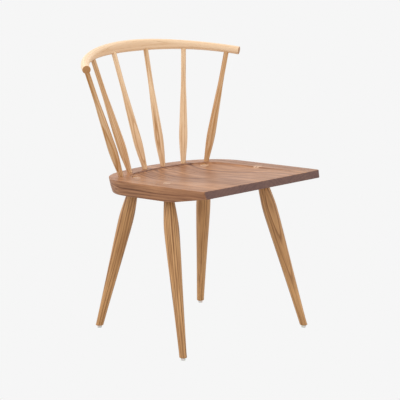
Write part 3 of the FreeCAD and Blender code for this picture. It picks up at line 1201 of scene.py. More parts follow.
@dataclass
class CrestRail:
    """The bent bow, round at its ends and tall in the middle, with six blind sockets.

    Attributes:
        plan: The seat's plan.
        material: Its finish.
        above_seat: Height of the middle of the bow over the seat's rear edge.
        behind_seat: How far it lies behind that edge.
        tilt_deg: How far the bow tilts back.
        radius: Radius of its centre line.
        half_angle_deg: Angle from its middle to each end.
        end_diameter: Diameter of its ends.
        middle_height: Height of its middle.
        middle_thickness: Thickness of its middle.
        swell_power: How closely the tall middle is gathered, 1 for evenly.
        end_roundness: Power of the section's outline at the ends, 2 for round.
        middle_roundness: The same at the middle, where it is squarer.
        end_easing: Rounding of the end edges.
        easing_steps: Faces across that rounding.
        sections: Sections along the bow.
        section_points: Places round each section.
        pith_beside: How far in front of the bow the pith of the log ran.
        pith_below: How far below it; below 0 for above.
        grain_start: Where in the log the middle of the bow lay.
    """

    plan: SeatPlan
    material: bpy.types.Material
    above_seat: float = 322.4
    behind_seat: float = 68.9
    tilt_deg: float = 8.0
    radius: float = 313.0
    half_angle_deg: float = 60.0
    end_diameter: float = 22.0
    middle_height: float = 31.0
    middle_thickness: float = 20.5
    swell_power: float = 3.0
    end_roundness: float = 2.0
    middle_roundness: float = 3.4
    end_easing: float = 1.2
    easing_steps: int = 3
    sections: int = 145
    section_points: int = 56
    pith_beside: float = 84.0
    pith_below: float = -22.0
    grain_start: float = 520.0

    # How each point of the bow is worked out: the name of a value, the sum that gives it, and what goes in
    RULE = (
        ("rows", "ADD", "Section Points", 1),
        ("middle of index", "ADD", "index", 0.5),
        ("column and part", "DIVIDE", "middle of index", "rows"),
        ("column", "FLOOR", "column and part"),
        ("before", "MULTIPLY", "column", "rows"),
        ("row", "SUBTRACT", "index", "before"),
        ("last section", "SUBTRACT", "Sections", 1),
        ("along", "DIVIDE", "column", "last section"),
        ("bend", "MULTIPLY_ADD", "along", 2, -1),
        ("angle", "MULTIPLY", "bend", "Half Angle"),
        ("quarter", "MULTIPLY", "bend", math.pi / 2),
        ("cosine", "COSINE", "quarter"),
        ("hump", "MAXIMUM", "cosine", 0),
        ("swell", "POWER", "hump", "Swell Power"),
        ("more thick", "SUBTRACT", "Middle Thickness", "End Diameter"),
        ("thick", "MULTIPLY_ADD", "more thick", "swell", "End Diameter"),
        ("more tall", "SUBTRACT", "Middle Height", "End Diameter"),
        ("tall", "MULTIPLY_ADD", "more tall", "swell", "End Diameter"),
        ("more square", "SUBTRACT", "Middle Roundness", "End Roundness"),
        ("roundness", "MULTIPLY_ADD", "more square", "swell", "End Roundness"),
        ("power", "DIVIDE", 2, "roundness"),
        ("share", "DIVIDE", "row", "Section Points"),
        ("turn", "MULTIPLY", "share", TAU),
        ("out wave", "COSINE", "turn"),
        ("out size", "ABSOLUTE", "out wave"),
        ("out bulge", "POWER", "out size", "power"),
        ("out side", "SIGN", "out wave"),
        ("out share", "MULTIPLY", "out bulge", "out side"),
        ("half thick", "MULTIPLY", "thick", 0.5),
        ("reach", "MULTIPLY_ADD", "out share", "half thick", "Radius"),
        ("up wave", "SINE", "turn"),
        ("up size", "ABSOLUTE", "up wave"),
        ("up bulge", "POWER", "up size", "power"),
        ("up side", "SIGN", "up wave"),
        ("up share", "MULTIPLY", "up bulge", "up side"),
        ("half tall", "MULTIPLY", "tall", 0.5),
        ("up", "MULTIPLY", "up share", "half tall"),
        ("across", "SINE", "angle"),
        ("x", "MULTIPLY", "reach", "across"),
        ("behind", "COSINE", "angle"),
        ("from centre", "MULTIPLY", "reach", "behind"),
        ("y", "SUBTRACT", "from centre", "Radius"),
    )

    @property
    def place(self) -> Matrix:
        """How the bow lies on the chair.

        Returns:
            The turn and move that bring the middle of its centre line to its place, in millimetres.
        """
        rear = self.plan.to_chair @ Vector((0, self.plan.depth, 0))
        middle = rear + Vector((0, self.behind_seat, self.above_seat))
        return Matrix.Translation(middle) @ Matrix.Rotation(math.radians(self.tilt_deg), 4, "X")

    def on_centre_line(self, angle: float) -> Vector:
        """A place on the centre line, at an angle from straight back."""
        return self.place @ Vector((self.radius * math.sin(angle), self.radius * (math.cos(angle) - 1), 0))

    def tree(self) -> bpy.types.NodeTree:
        """Builds the geometry nodes that sweep the changing section round the bow.

        Returns:
            A tree with the bow's measures, its counts and the material.
        """
        measures = ("Radius", "Half Angle", "End Diameter", "Middle Height", "Middle Thickness",
                    "Swell Power", "End Roundness", "Middle Roundness")
        tree = start_shape("bent_crest", measures, ("Sections", "Section Points"))
        known: dict[str, Any] = {socket.name: socket for socket in add_node(tree, "NodeGroupInput").outputs}
        known["index"] = add_node(tree, "GeometryNodeInputIndex")
        add_steps(tree, [(name, MATH, *rest) for name, *rest in self.RULE], known)
        point = add_node(tree, "ShaderNodeCombineXYZ", {"X": known["x"], "Y": known["y"], "Z": known["up"]})
        counts = {"Vertices X": known["Sections"], "Vertices Y": known["rows"]}
        end_shape(tree, add_node(tree, "GeometryNodeMeshGrid", counts), point, known["Material"])
        return tree

    def bow(self) -> bpy.types.Mesh:
        """Makes the bow with its ends closed and eased.

        Returns:
            The closed mesh in its place, in millimetres.
        """
        mesh = grow(self.tree(), {
            "Radius": self.radius, "Half Angle": math.radians(self.half_angle_deg),
            "End Diameter": self.end_diameter, "Middle Height": self.middle_height,
            "Middle Thickness": self.middle_thickness,
            "Swell Power": self.swell_power, "End Roundness": self.end_roundness,
            "Middle Roundness": self.middle_roundness, "Sections": self.sections,
            "Section Points": self.section_points, "Material": self.material})
        work = bmesh.new()
        work.from_mesh(mesh)
        open_edges = [edge for edge in work.edges if edge.is_boundary]
        bmesh.ops.holes_fill(work, edges=open_edges, sides=0)
        ends = [face for face in work.faces if len(face.verts) == self.section_points]
        bmesh.ops.recalc_face_normals(work, faces=work.faces)
        ease(work, [edge for face in ends for edge in face.edges], self.end_easing, self.easing_steps)
        work.to_mesh(mesh)
        work.free()
        mesh.transform(self.place)
        return mend(mesh)

    def build(self, sockets: Sequence[bpy.types.Mesh]) -> None:
        """Makes the crest rail, cuts its sockets and hands it in.

        Args:
            sockets: Closed tools in millimetres, one for each spindle.
        """
        mesh = carve(self.bow(), joined(sockets), Carving.OUTSIDE)
        mesh.transform(TO_METRES)
        place = self.place
        back = place.inverted()

        def bent(point: Vector) -> tuple[float, float, float]:
            """Angle, distance outside the centre line and height of a place on the bow."""
            x, y, z = back @ point
            return math.atan2(x, y + self.radius), math.hypot(x, y + self.radius) - self.radius, z

        def to_log(point: Vector) -> Vector:
            """Where a place of the bow lay in its log before it was bent.

            Args:
                point: The place on the chair, in millimetres.

            Returns:
                The place in the log: across, across, along the fibres.
            """
            angle, off, up = bent(point)
            along = self.radius * angle + self.grain_start
            return Vector((off + self.pith_beside, up + self.pith_below, along))

        def axis(point: Vector) -> Vector:
            """The direction of the bow at a place."""
            angle = bent(point)[0]
            return (place.to_3x3() @ Vector((math.cos(angle), -math.sin(angle), 0))).normalized()

        Piece("crest_rail", "crest_ash", self.material, Grain(to_log, axis)).hand_in(mesh)


# A spindle's outline from its foot up
SPINDLE_RUNS = (
    Run(("Foot Centre", "Foot"), 3),
    Run(("Foot", "Deck"), 3),
    Run(("Deck", "Swell", "Rise", "Belly", "Shoulder", "Middle", "Neck", "Throat", "Stem"), 70,
        RunKind.FLOWING),
    Run(("Stem", "Stem Top"), 14),
    Run(("Stem Top", "Tip"), 4),
    Run(("Tip", "Tip Centre"), 3),
)


@dataclass
class Spindle:
    """One turned spindle between the seat's deck and the crest rail.

    Attributes:
        number: Its number, from the sitter's right.
        plan: The seat's plan.
        crest: The crest rail that it carries.
        cut: Where it lay in its log.
        count: How many spindles there are.
        edge_distance: From the seat's edge to the inner and middle spindles.
        outer_edge_distance: From the seat's edge to the outer spindles.
        spread: Length of the line of spindles on the deck.
        inner_along_crest: From the middle of the crest rail to the inner spindles, along its centre line.
        middle_along_crest: The same to the middle spindles.
        end_past: How far the crest rail goes on past the outer spindles.
        foot: Diameter of the foot.
        stem: Diameter of the even stem under the crest rail.
        stem_height: Where the stem starts over the deck.
        body: Name, height above the deck and diameter of the stations between foot and stem.
        in_seat: Depth of the foot in the seat.
        tip: Diameter of the upper end.
        taper: Length of the taper to the upper end.
        past_crest_line: How far the upper end goes past the crest rail's centre line.
    """

    number: int
    plan: SeatPlan
    crest: CrestRail
    cut: Cut
    count: int = 6
    edge_distance: float = 36.0
    outer_edge_distance: float = 32.7
    spread: float = 325.0
    inner_along_crest: float = 58.2
    middle_along_crest: float = 172.1
    end_past: float = 34.7
    foot: float = 13.2
    stem: float = 13.3
    stem_height: float = 246.0
    body: tuple[tuple[str, float, float], ...] = (
        ("Swell", 20.0, 16.2), ("Rise", 48.0, 20.8), ("Belly", 76.0, 23.0), ("Shoulder", 110.0, 21.3),
        ("Middle", 146.0, 19.1), ("Neck", 180.0, 16.9), ("Throat", 216.0, 14.0))
    in_seat: float = 24.0
    tip: float = 11.0
    taper: float = 15.0
    past_crest_line: float = 4.0

    def __post_init__(self) -> None:
        """Finds the spindle's line from the deck to the middle of the crest rail."""
        share = 2 * (self.number - 1) / (self.count - 1) - 1
        crest = self.crest
        outer_along_crest = crest.radius * math.radians(crest.half_angle_deg) - self.end_past
        pairs = ((self.edge_distance, self.inner_along_crest), (self.edge_distance, self.middle_along_crest),
                 (self.outer_edge_distance, outer_along_crest))
        edge_distance, along_crest = pairs[round(abs(share) * self.count - 1) // 2]
        start = self.on_deck(share * self.spread / 2, edge_distance)
        end = crest.on_centre_line(math.copysign(along_crest / crest.radius, share))
        self.length = (end - start).length + self.past_crest_line
        self.place = standing_on(start, (end - start).normalized())

    def on_deck(self, along: float, edge_distance: float) -> Vector:
        """Finds a place on the deck.

        Args:
            along: Its place along the line of spindles, from the middle to the sitter's left.
            edge_distance: How far it lies from the seat's edge.

        Returns:
            The place on the chair, in millimetres.
        """
        plan = self.plan
        cu, cv = plan.corner_centre
        line = plan.back_radius - self.edge_distance
        angle = abs(along) / line
        radius = plan.back_radius - edge_distance
        u, v = radius * math.sin(angle), plan.back_centre + radius * math.cos(angle)
        if angle > plan.join_angle:
            past_join = abs(along) - line * plan.join_angle
            angle = plan.join_angle + past_join / (plan.corner_radius - self.edge_distance)
            radius = plan.corner_radius - edge_distance
            u, v = cu + radius * math.sin(angle), cv + radius * math.cos(angle)
        return plan.to_chair @ Vector((math.copysign(u, along), v, 0))

    def turned(self, lathe: Lathe, grow_by: float) -> bpy.types.Mesh:
        """Turns the spindle, or the tool that cuts its sockets.

        Args:
            lathe: Turns spindles.
            grow_by: How much bigger all round, 0 for the spindle.

        Returns:
            The closed mesh in its place, in millimetres.
        """
        foot = -self.in_seat - grow_by
        tip = self.length + grow_by
        found = {"Foot Centre": (foot, 0.0), "Foot": (foot, self.foot), "Deck": (0.0, self.foot),
                 "Stem": (self.stem_height, self.stem), "Stem Top": (self.length - self.taper, self.stem),
                 "Tip": (tip, self.tip), "Tip Centre": (tip, 0.0)}
        mesh = lathe.turn(found | {name: (height, thick) for name, height, thick in self.body}, grow_by)
        mesh.transform(self.place)
        return mesh

    def build(self, lathe: Lathe) -> None:
        """Makes the spindle and hands it in.

        Args:
            lathe: Turns spindles.
        """
        mesh = self.turned(lathe, 0)
        mesh.transform(TO_METRES)
        grain = self.cut.grain(self.place)
        Piece(f"spindle_{self.number}", "spindle_ash", lathe.material, grain).hand_in(mesh)


# Finishes


class Ramp(Enum):
    """How a value goes from one level to another."""

    EVEN = "LINEAR"
    SOFT = "SMOOTHSTEP"


@dataclass(frozen=True)
class Timber:
    """An oiled wood, coloured from its growth rings and fibres.

    Attributes:
        name: The material's name.
        pale: Colour of the plain wood between the dark lines.
        dark: Colour of the dark lines.
        drift: Colour that the wood drifts to here and there.
        pore: Colour of the open pores.
        end: Colour of the end grain.
        ring: Distance between growth rings, in millimetres.
        line_share: Share of a ring that its dark line takes.
        line_rise: Share of a line over which it darkens.
        line_strength: How dark the lines are.
        sway: How far the rings wander along the piece, in millimetres.
        streak: Width and length of the streaks, in millimetres.
        streak_strength: How strong the streaks are.
        drift_strength: How much of the drift colour there is.
        pore_size: Width and length of the pores, in millimetres.
        pore_strength: How strong the pores are.
        end_strength: How much of the end colour an end face takes.
        roughness: Roughness of the shiniest and of the dullest places.
        gloss: How much the oil film reflects.
        relief: Depth of the open grain, in millimetres.
        stave: Width of the staves that a board is glued up from, or 0.
        stave_strength: How much one stave differs from the next.
        stave_spread: How far apart across the log the staves were cut, in staves.
        stave_shift: How far apart along the log they were cut, in staves.
        sway_size: Width and length of the places over which the rings wander, in millimetres.
        drift_size: Width and length of the places that drift, in millimetres.
        unevenness: How far the spacing of the rings varies, in rings.
        uneven_pace: How soon it varies, 1 for from ring to ring.
        weakest_year: How dark the line of the weakest year is beside the strongest.
        streak_middle: Noise level of the plain wood between light and dark streaks.
        pore_levels: Noise levels at which a pore begins and is fully open.
        drift_levels: Noise levels at which the drift begins and is full.
        dull_levels: Noise levels of the shiniest and of the dullest places.
        pores_between: Share of the pores that lie between the dark lines.
        end_levels: Cosine between fibres and surface at which the end colour begins and is full.
        index: How strongly the oil film bends light.
    """

    name: str
    pale: str
    dark: str
    drift: str
    pore: str
    end: str
    ring: float
    line_share: float
    line_strength: float
    sway: float
    streak: tuple[float, float]
    streak_strength: float
    drift_strength: float
    pore_size: tuple[float, float]
    pore_strength: float
    end_strength: float
    roughness: tuple[float, float]
    gloss: float
    relief: float
    stave: float = 0.0
    stave_strength: float = 0.0
    stave_spread: float = 3.0
    stave_shift: float = 40.0
    line_rise: float = 0.25
    index: float = 1.5
    sway_size: tuple[float, float] = (70.0, 330.0)
    drift_size: tuple[float, float] = (46.0, 210.0)
    unevenness: float = 1.5
    uneven_pace: float = 0.43
    weakest_year: float = 0.3
    streak_middle: float = 0.42
    pore_levels: tuple[float, float] = (0.54, 0.66)
    drift_levels: tuple[float, float] = (0.4, 0.66)
    dull_levels: tuple[float, float] = (0.3, 0.7)
    pores_between: float = 0.3
    end_levels: tuple[float, float] = (0.55, 0.93)

    def stave_steps(self) -> list[tuple[Any, ...]]:
        """Cuts each stave from another part of the log, by chance.

        Returns:
            The steps that give a new place in the log and the tone of the stave.
        """
        width, spread, change = self.stave, self.stave_spread * self.stave, self.stave_strength
        return [
            ("apart", "ShaderNodeSeparateXYZ", "", {"Vector": "log.Vector"}),
            ("staves", MATH, "DIVIDE", "apart.X", width),
            ("stave", MATH, "FLOOR", "staves"),
            ("start", MATH, "MULTIPLY", "stave", width),
            ("dice", CHANCE, "1D", {"W": "stave"}),
            ("throw", "ShaderNodeSeparateColor", "", {"Color": "dice.Color"}),
            ("from start", MATH, "SUBTRACT", "apart.X", "start"),
            ("slide", MATH, "MULTIPLY_ADD", "throw.Red", spread, -0.5 * spread),
            ("new across", MATH, "ADD", "from start", "slide"),
            ("new deep", MATH, "MULTIPLY_ADD", "throw.Green", width, "apart.Y"),
            ("new along", MATH, "MULTIPLY_ADD", "throw.Red", self.stave_shift * width, "apart.Z"),
            ("new place", "ShaderNodeCombineXYZ", "", {"X": "new across", "Y": "new deep", "Z": "new along"}),
            ("stave tone", MATH, "MULTIPLY_ADD", "throw.Blue", change, -0.5 * change),
        ]

    def figure_steps(self, place: str, tone: str) -> list[tuple[Any, ...]]:
        """Draws the growth rings, streaks, pores and end grain.

        Args:
            place: The step or output that gives the place in the log.
            tone: The one that gives how much darker than usual the wood is.

        Returns:
            The steps that give how much there is of each colour.
        """
        steps: list[tuple[Any, ...]] = []
        # Size of each uneven field in the wood, and how many finer layers it has
        fields = {"sway": (self.sway_size, 1.0), "drift": (self.drift_size, 2.0),
                  "streak": (self.streak, 3.0), "pore": (self.pore_size, 2.0)}
        for name, ((width, length), detail) in fields.items():
            steps += [
                (name + " place", VECTOR, "MULTIPLY", place, (1 / width, 1 / width, 1 / length)),
                (name + " noise", NOISE, "", {"Vector": name + " place", "Scale": 1.0, "Detail": detail}),
            ]
        ramps = (
            ("open", Ramp.EVEN, "pore noise", *self.pore_levels, 0.0, 1.0),
            ("patch", Ramp.EVEN, "drift noise", *self.drift_levels, 0.0, 1.0),
            ("rough", Ramp.EVEN, "streak noise", *self.dull_levels, *self.roughness),
            ("season", Ramp.EVEN, "weather", 0.0, 1.0, self.weakest_year, 1.0),
            ("fall", Ramp.SOFT, "cycle", 0.0, self.line_share, 1.0, 0.0),
            ("rise", Ramp.SOFT, "cycle", 0.0, self.line_share * self.line_rise, 0.0, 1.0),
            ("end share", Ramp.SOFT, "squareness", *self.end_levels, 0.0, self.end_strength),
        )
        inputs = ("Value", "From Min", "From Max", "To Min", "To Max")
        return steps + [
            ("flat", VECTOR, "MULTIPLY", place, (1, 1, 0)),
            ("radius", VECTOR, "LENGTH", "flat"),
            ("swaying", MATH, "MULTIPLY_ADD", "sway noise", 2 * self.sway, "radius"),
            ("rings", MATH, "DIVIDE", "swaying", self.ring),
            ("slow rings", MATH, "MULTIPLY", "rings", self.uneven_pace),
            ("uneven", NOISE, "1D", {"W": "slow rings", "Scale": 1.0, "Detail": 0.0}),
            ("years", MATH, "MULTIPLY_ADD", "uneven", self.unevenness, "rings"),
            ("cycle", MATH, "FRACT", "years"),
            ("year", MATH, "FLOOR", "years"),
            ("weather", CHANCE, "1D", {"W": "year"}),
            ("surface", "ShaderNodeNewGeometry", ""),
            ("facing", VECTOR, "DOT_PRODUCT", "surface.Normal", "fibres.Vector"),
            ("squareness", MATH, "ABSOLUTE", "facing"),
            *[(name, RANGE, ramp.value, dict(zip(inputs, feeds))) for name, ramp, *feeds in ramps],
            ("line", MATH, "MULTIPLY", "fall", "rise"),
            ("ring line", MATH, "MULTIPLY", "line", "season"),
            ("streaks", MATH, "MULTIPLY_ADD", "streak noise", self.streak_strength,
             -self.streak_middle * self.streak_strength),
            ("figure", MATH, "MULTIPLY_ADD", "ring line", self.line_strength, "streaks"),
            ("shade", MATH, "ADD", tone, "figure"),
            ("drifting", MATH, "MULTIPLY", "patch", self.drift_strength),
            ("pores in line", MATH, "MULTIPLY_ADD", "line", 1 - self.pores_between, self.pores_between),
            ("pores", MATH, "MULTIPLY", "open", "pores in line"),
            ("pore shade", MATH, "MULTIPLY", "pores", self.pore_strength),
        ]

    def build(self) -> bpy.types.Material:
        """Builds the material.

        Returns:
            The material, which reads the three attributes that a piece's grain writes.
        """
        steps: list[tuple[Any, ...]] = [
            ("log", READ, TIMBER), ("fibres", READ, GRAIN_AXIS), ("tone", READ, TONE)]
        if self.stave:
            steps += self.stave_steps() + self.figure_steps("new place", "stave tone")
        else:
            steps += self.figure_steps("log.Vector", "tone.Fac")
        colour: Any = linear(self.pale)
        for share, other in (("shade", self.dark), ("drifting", self.drift), ("pore shade", self.pore),
                             ("end share", self.end)):
            sources = {"Factor_Float": share, "A_Color": colour, "B_Color": linear(other)}
            colour = share + " colour"
            steps.append((colour, MIX, "RGBA", sources))
        steps += [
            ("hollow", MATH, "ADD", "pores", "ring line"),
            ("height", MATH, "MULTIPLY", "hollow", -0.5),
            ("bump", "ShaderNodeBump", "", {"Height": "height", "Distance": self.relief * MM * 2,
                                            "Strength": 1.0}),
            ("skin", SKIN, "", {"Base Color": colour, "Roughness": "rough", "Normal": "bump",
                                "IOR": self.index, "Specular IOR Level": self.gloss}),
            ("output", OUTPUT, "", {"Surface": "skin"}),
        ]
        material = empty_material(self.name)
        add_steps(material.node_tree, steps, {})
        return material


# Oiled white ash: a pale straw ground with tan early-wood lines that show as long streaks and pointed arches,
# a satin sheen and fine open pores. Real rings are 2 to 4 mm apart and pores 0.3 mm wide, less than 2 px
# here, so they are drawn at 6 mm and 1.6 mm to show.
CREST_ASH = Timber(
    name="oiled_ash_bent_crest", pale="#F2D2AE", dark="#C8965F", drift="#DDB184", pore="#B08457",
    end="#AC7743", ring=6.0, line_share=0.55, line_strength=0.45, sway=6.0, streak=(4.0, 150.0),
    streak_strength=0.5, drift_strength=0.3, pore_size=(1.6, 24.0), pore_strength=0.35, end_strength=0.9,
    roughness=(0.34, 0.48), gloss=0.3, relief=0.06)
SPINDLE_ASH = Timber(
    name="oiled_ash_turned_spindles", pale="#F0CFA8", dark="#AC7639", drift="#CFA06F", pore="#A67A4E",
    end="#A97F55", ring=6.0, line_share=0.55, line_strength=0.75, sway=6.0, streak=(4.0, 130.0),
    streak_strength=1.5, drift_strength=0.3, pore_size=(1.6, 24.0), pore_strength=0.35, end_strength=0.8,
    roughness=(0.34, 0.48), gloss=0.3, relief=0.05)
LEG_ASH = Timber(
    name="oiled_ash_turned_legs", pale="#D1A06B", dark="#744620", drift="#A27040", pore="#7A5430",
    end="#CBA585", ring=6.0, line_share=0.6, line_strength=1.1, sway=7.0, streak=(4.6, 120.0),
    streak_strength=1.7, drift_strength=0.4, pore_size=(1.6, 26.0), pore_strength=0.4, end_strength=0.8,
    roughness=(0.33, 0.48), gloss=0.35, relief=0.06)

# Oiled black walnut, glued up from staves: a warm brown ground with soft darker lines, a change of tone from
# stave to stave, and purple-grey end grain along the front. Its 3 to 5 mm rings are drawn at 8 mm and its
# 0.2 mm pores at 2.4 mm to show.
SEAT_WALNUT = Timber(
    name="oiled_walnut_sawn_board", pale="#B6845F", dark="#563122", drift="#8F6044", pore="#5A3D2F",
    end="#5D4A4B", ring=8.0, line_share=0.7, line_strength=0.7, sway=9.0, streak=(5.0, 130.0),
    streak_strength=1.6, drift_strength=0.4, pore_size=(2.4, 22.0), pore_strength=0.4, end_strength=0.8,
    roughness=(0.36, 0.5), gloss=0.16, relief=0.05, stave=84.0, stave_strength=0.3)

# The same walnut split for the wedges: a paler brown with faint lines, its rings at their real 5 mm and its
# pores drawn at 1.4 mm.
WEDGE_WALNUT = Timber(
    name="oiled_walnut_split_wedge", pale="#9A745B", dark="#6E4B39", drift="#8F6850", pore="#5A3D2F",
    end="#8A6650", ring=5.0, line_share=0.6, line_strength=0.4, sway=3.0, streak=(2.0, 40.0),
    streak_strength=0.5, drift_strength=0.3, pore_size=(1.4, 10.0), pore_strength=0.3, end_strength=0.8,
    roughness=(0.4, 0.5), gloss=0.22, relief=0.04)


@dataclass(frozen=True)
class WhiteNylon:
    """Moulded white nylon: a milky off-white with a soft gloss, and scuffs that dull and grey it.

    Attributes:
        colour: Colour of the clean nylon.
        scuff: Colour of the scuffs.
        scuff_width: Size of the scuffs, in millimetres.
        scuff_levels: Noise levels at which a scuff begins and is full.
        scuff_strength: How much of the scuff's colour there is.
        roughness: Roughness of the shiniest and of the dullest places.
        index: How strongly it bends light.
        milkiness: How much light goes on under the surface, for a millimetre or so.
    """

    colour: str = "#E9E8E2"
    scuff: str = "#B9B4A8"
    scuff_width: float = 3.0
    scuff_levels: tuple[float, float] = (0.55, 0.75)
    scuff_strength: float = 0.5
    roughness: tuple[float, float] = (0.3, 0.55)
    index: float = 1.53
    milkiness: float = 0.1

    def build(self) -> bpy.types.Material:
        """Builds the material.

        Returns:
            The material.
        """
        material = empty_material("moulded_nylon_glide")
        start, full = self.scuff_levels
        low, high = self.roughness
        scale = 1 / (self.scuff_width * MM)
        add_steps(material.node_tree, (
            ("place", "ShaderNodeTexCoord", ""),
            ("noise", NOISE, "", {"Vector": "place.Object", "Scale": scale, "Detail": 3.0}),
            ("worn", RANGE, "", {"Value": "noise", "From Min": start, "From Max": full,
                                 "To Max": self.scuff_strength}),
            ("tint", MIX, "RGBA", {"Factor_Float": "worn", "A_Color": linear(self.colour),
                                   "B_Color": linear(self.scuff)}),
            ("rough", RANGE, "", {"Value": "noise", "To Min": low, "To Max": high}),
            ("skin", SKIN, "", {"Base Color": "tint", "Roughness": "rough", "IOR": self.index,
                                "Subsurface Weight": self.milkiness, "Subsurface Scale": MM}),
            ("output", OUTPUT, "", {"Surface": "skin"}),
        ), {})
        return material


@dataclass(frozen=True)
class BrightSteel:
    """Drawn steel wire, headed cold: a grey metal with fine scratches.

    Attributes:
        colour: Colour of the metal.
        scratch_width: Size of the scratches, in millimetres. Real ones are finer than a pixel.
        roughness: Roughness of the shiniest and of the dullest places.
    """

    colour: str = "#B9BABC"
    scratch_width: float = 0.6
    roughness: tuple[float, float] = (0.28, 0.5)

    def build(self) -> bpy.types.Material:
        """Builds the material.

        Returns:
            The material.
        """
        material = empty_material("drawn_steel_nail")
        low, high = self.roughness
        scale = 1 / (self.scratch_width * MM)
        add_steps(material.node_tree, (
            ("place", "ShaderNodeTexCoord", ""),
            ("noise", NOISE, "", {"Vector": "place.Object", "Scale": scale, "Detail": 2.0}),
            ("rough", RANGE, "", {"Value": "noise", "To Min": low, "To Max": high}),
            ("skin", SKIN, "", {"Base Color": linear(self.colour), "Metallic": 1.0, "Roughness": "rough"}),
            ("output", OUTPUT, "", {"Surface": "skin"}),
        ), {})
        return material


# Studio


@dataclass
class Studio:
    """A plain pale floor under a soft white surround, a broad window light, and the camera.

    Attributes:
        plan: The seat's plan, from whose front edge the camera's place is measured.
        backdrop: Colour that the camera sees behind the chair.
        surround: Strength of the light from all round.
        window: Strength of the broad light from high behind the chair, a little on the sitter's right.
        window_spread_deg: How wide that light looks from the chair.
        window_travel: Which way its light travels.
        bounce: Colour of the floor as the chair sees it.
        floor_size: Length of the floor's sides, in metres.
        camera_from_seat: The camera's place from below the middle of the seat's front edge, in metres.
        camera_yaw: How far the camera looks round to the sitter's left, in radians.
        camera_pitch: How far it looks down, in radians.
        lens: Its focal length, in millimetres.
    """

    plan: SeatPlan
    backdrop: str = "#F6F6F6"
    surround: float = 1.15
    window: float = 1.0
    window_spread_deg: float = 50.0
    window_travel: tuple[float, float, float] = (0.25, -1.0, -0.75)
    bounce: str = "#C6C6C6"
    floor_size: float = 60.0
    camera_from_seat: tuple[float, float, float] = (-3.2363, -3.26414, 1.4037)
    camera_yaw: float = 0.745866
    camera_pitch: float = 0.216247
    lens: float = 165.97

    def floor(self) -> None:
        """Lays the floor, which lights the chair as a pale matt floor and looks like the backdrop."""
        material = empty_material("studio_floor")
        add_steps(material.node_tree, (
            ("ray", "ShaderNodeLightPath", ""),
            ("plain", "ShaderNodeBsdfDiffuse", "", {"Color": linear(self.bounce)}),
            ("glow", "ShaderNodeEmission", "", {"Color": linear(self.backdrop), "Strength": 1.0}),
            ("mixed", "ShaderNodeMixShader", "", "ray.Is Camera Ray", "plain", "glow"),
            ("output", OUTPUT, "", {"Surface": "mixed"}),
        ), {})
        half = self.floor_size / 2
        corners = [(-half, -half, 0), (half, -half, 0), (half, half, 0), (-half, half, 0)]
        mesh = bpy.data.meshes.new("studio_floor")
        mesh.from_pydata(corners, [], [(0, 1, 2, 3)])
        mesh.materials.append(material)
        floor = bpy.data.objects.new("studio_floor", mesh)
        bpy.context.scene.collection.objects.link(floor)

    def lights(self) -> None:
        """Lights the room softly from all round, and a little more from behind the chair."""
        world = bpy.data.worlds.new("studio_surround")
        bpy.context.scene.world = world
        world.use_nodes = True
        world.node_tree.nodes.clear()
        add_steps(world.node_tree, (
            ("ray", "ShaderNodeLightPath", ""),
            ("light", "ShaderNodeBackground", "", {"Color": (1, 1, 1, 1), "Strength": self.surround}),
            ("back", "ShaderNodeBackground", "", {"Color": linear(self.backdrop), "Strength": 1.0}),
            ("mixed", "ShaderNodeMixShader", "", "ray.Is Camera Ray", "light", "back"),
            ("output", "ShaderNodeOutputWorld", "", {"Surface": "mixed"}),
        ), {})
        lamp = bpy.data.lights.new("window_softbox", "SUN")
        lamp.energy = self.window
        lamp.angle = math.radians(self.window_spread_deg)
        window = bpy.data.objects.new("window_softbox", lamp)
        window.rotation_euler = Vector(self.window_travel).to_track_quat("-Z", "Y").to_euler()
        bpy.context.scene.collection.objects.link(window)
        bpy.context.scene.view_settings.view_transform = "Standard"

    def camera(self) -> None:
        """Sets up the camera where the photographer stood."""
        data = bpy.data.cameras.new("photographer")
        data.lens = self.lens
        eye = bpy.data.objects.new("photographer", data)
        seat_front = self.plan.to_chair.translation.y * MM
        eye.location = Vector(self.camera_from_seat) + Vector((0, seat_front, 0))
        eye.rotation_euler = (math.pi / 2 - self.camera_pitch, 0, -self.camera_yaw)
        bpy.context.scene.collection.objects.link(eye)
        bpy.context.scene.camera = eye

    def build(self) -> None:
        """Builds the floor, the lights and the camera."""
        self.floor()
        self.lights()
        self.camera()


# The whole chair


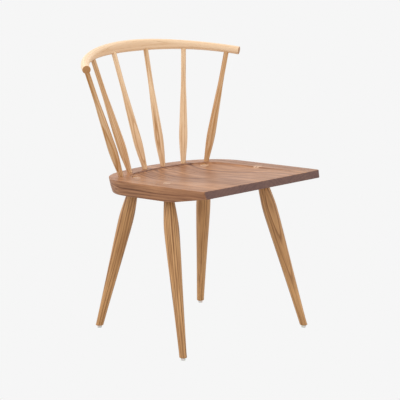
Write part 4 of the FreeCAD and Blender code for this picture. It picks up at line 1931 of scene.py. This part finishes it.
@dataclass
class Undercarriage:
    """The four legs with their wedges, glides and nails.

    Attributes:
        plan: The seat's plan.
        front_from_side: From the seat's widest line to the front legs' tenons.
        front_from_front: From its front edge to them.
        rear_from_side: From the seat's widest line to the rear legs' tenons.
        rear_from_back: From its rear edge to them.
        front_lean_deg: Splay and rake of the front legs.
        rear_lean_deg: Splay and rake of the rear legs.
    """

    plan: SeatPlan
    front_from_side: float = 50.4
    front_from_front: float = 187.0
    rear_from_side: float = 90.3
    rear_from_back: float = 107.7
    front_lean_deg: tuple[float, float] = (7.75, -16.05)
    rear_lean_deg: tuple[float, float] = (8.7, 11.65)

    def __post_init__(self) -> None:
        """Places the legs."""
        plan = self.plan
        front_u = plan.back_width / 2 - self.front_from_side
        rear_u = plan.back_width / 2 - self.rear_from_side
        front = (self.front_from_front, *self.front_lean_deg)
        rear = (plan.depth - self.rear_from_back, *self.rear_lean_deg)
        self.legs = [
            Leg("front_left", front_u, *front, Cut(66.0, 250.0, 90.0, 0.0), plan),
            Leg("front_right", -front_u, *front, Cut(84.0, 140.0, 930.0, 0.06), plan),
            Leg("rear_left", rear_u, *rear, Cut(58.0, 200.0, 1710.0, -0.12), plan),
            Leg("rear_right", -rear_u, *rear, Cut(92.0, 300.0, 2640.0, 0.0), plan),
        ]
        self.lathe = Lathe("turned_leg", LEG_RUNS, LEG_ASH.build())

    def sockets(self) -> list[bpy.types.Mesh]:
        """The tools that cut the legs' sockets in the seat."""
        return [leg.socket(self.lathe) for leg in self.legs]

    def build(self) -> None:
        """Makes the legs and everything that goes on them."""
        wedge_wood = WEDGE_WALNUT.build()
        nylon = Lathe("turned_glide", Glide.RUNS, WhiteNylon().build(), sides=40)
        steel = Lathe("headed_nail", Glide.NAIL_RUNS, BrightSteel().build(), sides=24)
        for leg in self.legs:
            glide = Glide(leg.name, leg.end, nylon, steel)
            leg.build(self.lathe, wedge_wood, glide.nail(NAIL_GAP))
            glide.build()


@dataclass
class SpindleBack:
    """The crest rail and the six spindles that carry it.

    Attributes:
        plan: The seat's plan.
        log_step: How far apart along the log the spindles were cut.
    """

    plan: SeatPlan
    log_step: float = 410.0

    def __post_init__(self) -> None:
        """Places the crest rail and the spindles."""
        self.crest = CrestRail(self.plan, CREST_ASH.build())
        pith_and_tone = ((70.0, 20.0, 0.4), (52.0, 160.0, 0.3), (88.0, 250.0, 0.0), (61.0, 215.0, 0.08),
                         (77.0, 300.0, -0.05), (56.0, 120.0, 0.5))
        self.spindles = []
        for number, (across, turn, tone) in enumerate(pith_and_tone, 1):
            cut = Cut(across, turn, self.log_step * number, tone)
            self.spindles.append(Spindle(number, self.plan, self.crest, cut))
        self.lathe = Lathe("turned_spindle", SPINDLE_RUNS, SPINDLE_ASH.build(), sides=40)

    def sockets(self) -> list[bpy.types.Mesh]:
        """The tools that cut the spindles' sockets in the seat and the crest rail."""
        return [spindle.turned(self.lathe, GLUE_GAP) for spindle in self.spindles]

    def build(self) -> None:
        """Makes the crest rail and the spindles."""
        self.crest.build(self.sockets())
        for spindle in self.spindles:
            spindle.build(self.lathe)


def main() -> None:
    logging.basicConfig(level=logging.INFO)
    plan = SeatPlan()
    legs = Undercarriage(plan)
    back = SpindleBack(plan)
    SeatBoard(plan, SEAT_WALNUT.build()).build(legs.sockets() + back.sockets())
    legs.build()
    back.build()
    Studio(plan).build()


if __name__ == "__main__":
    main()
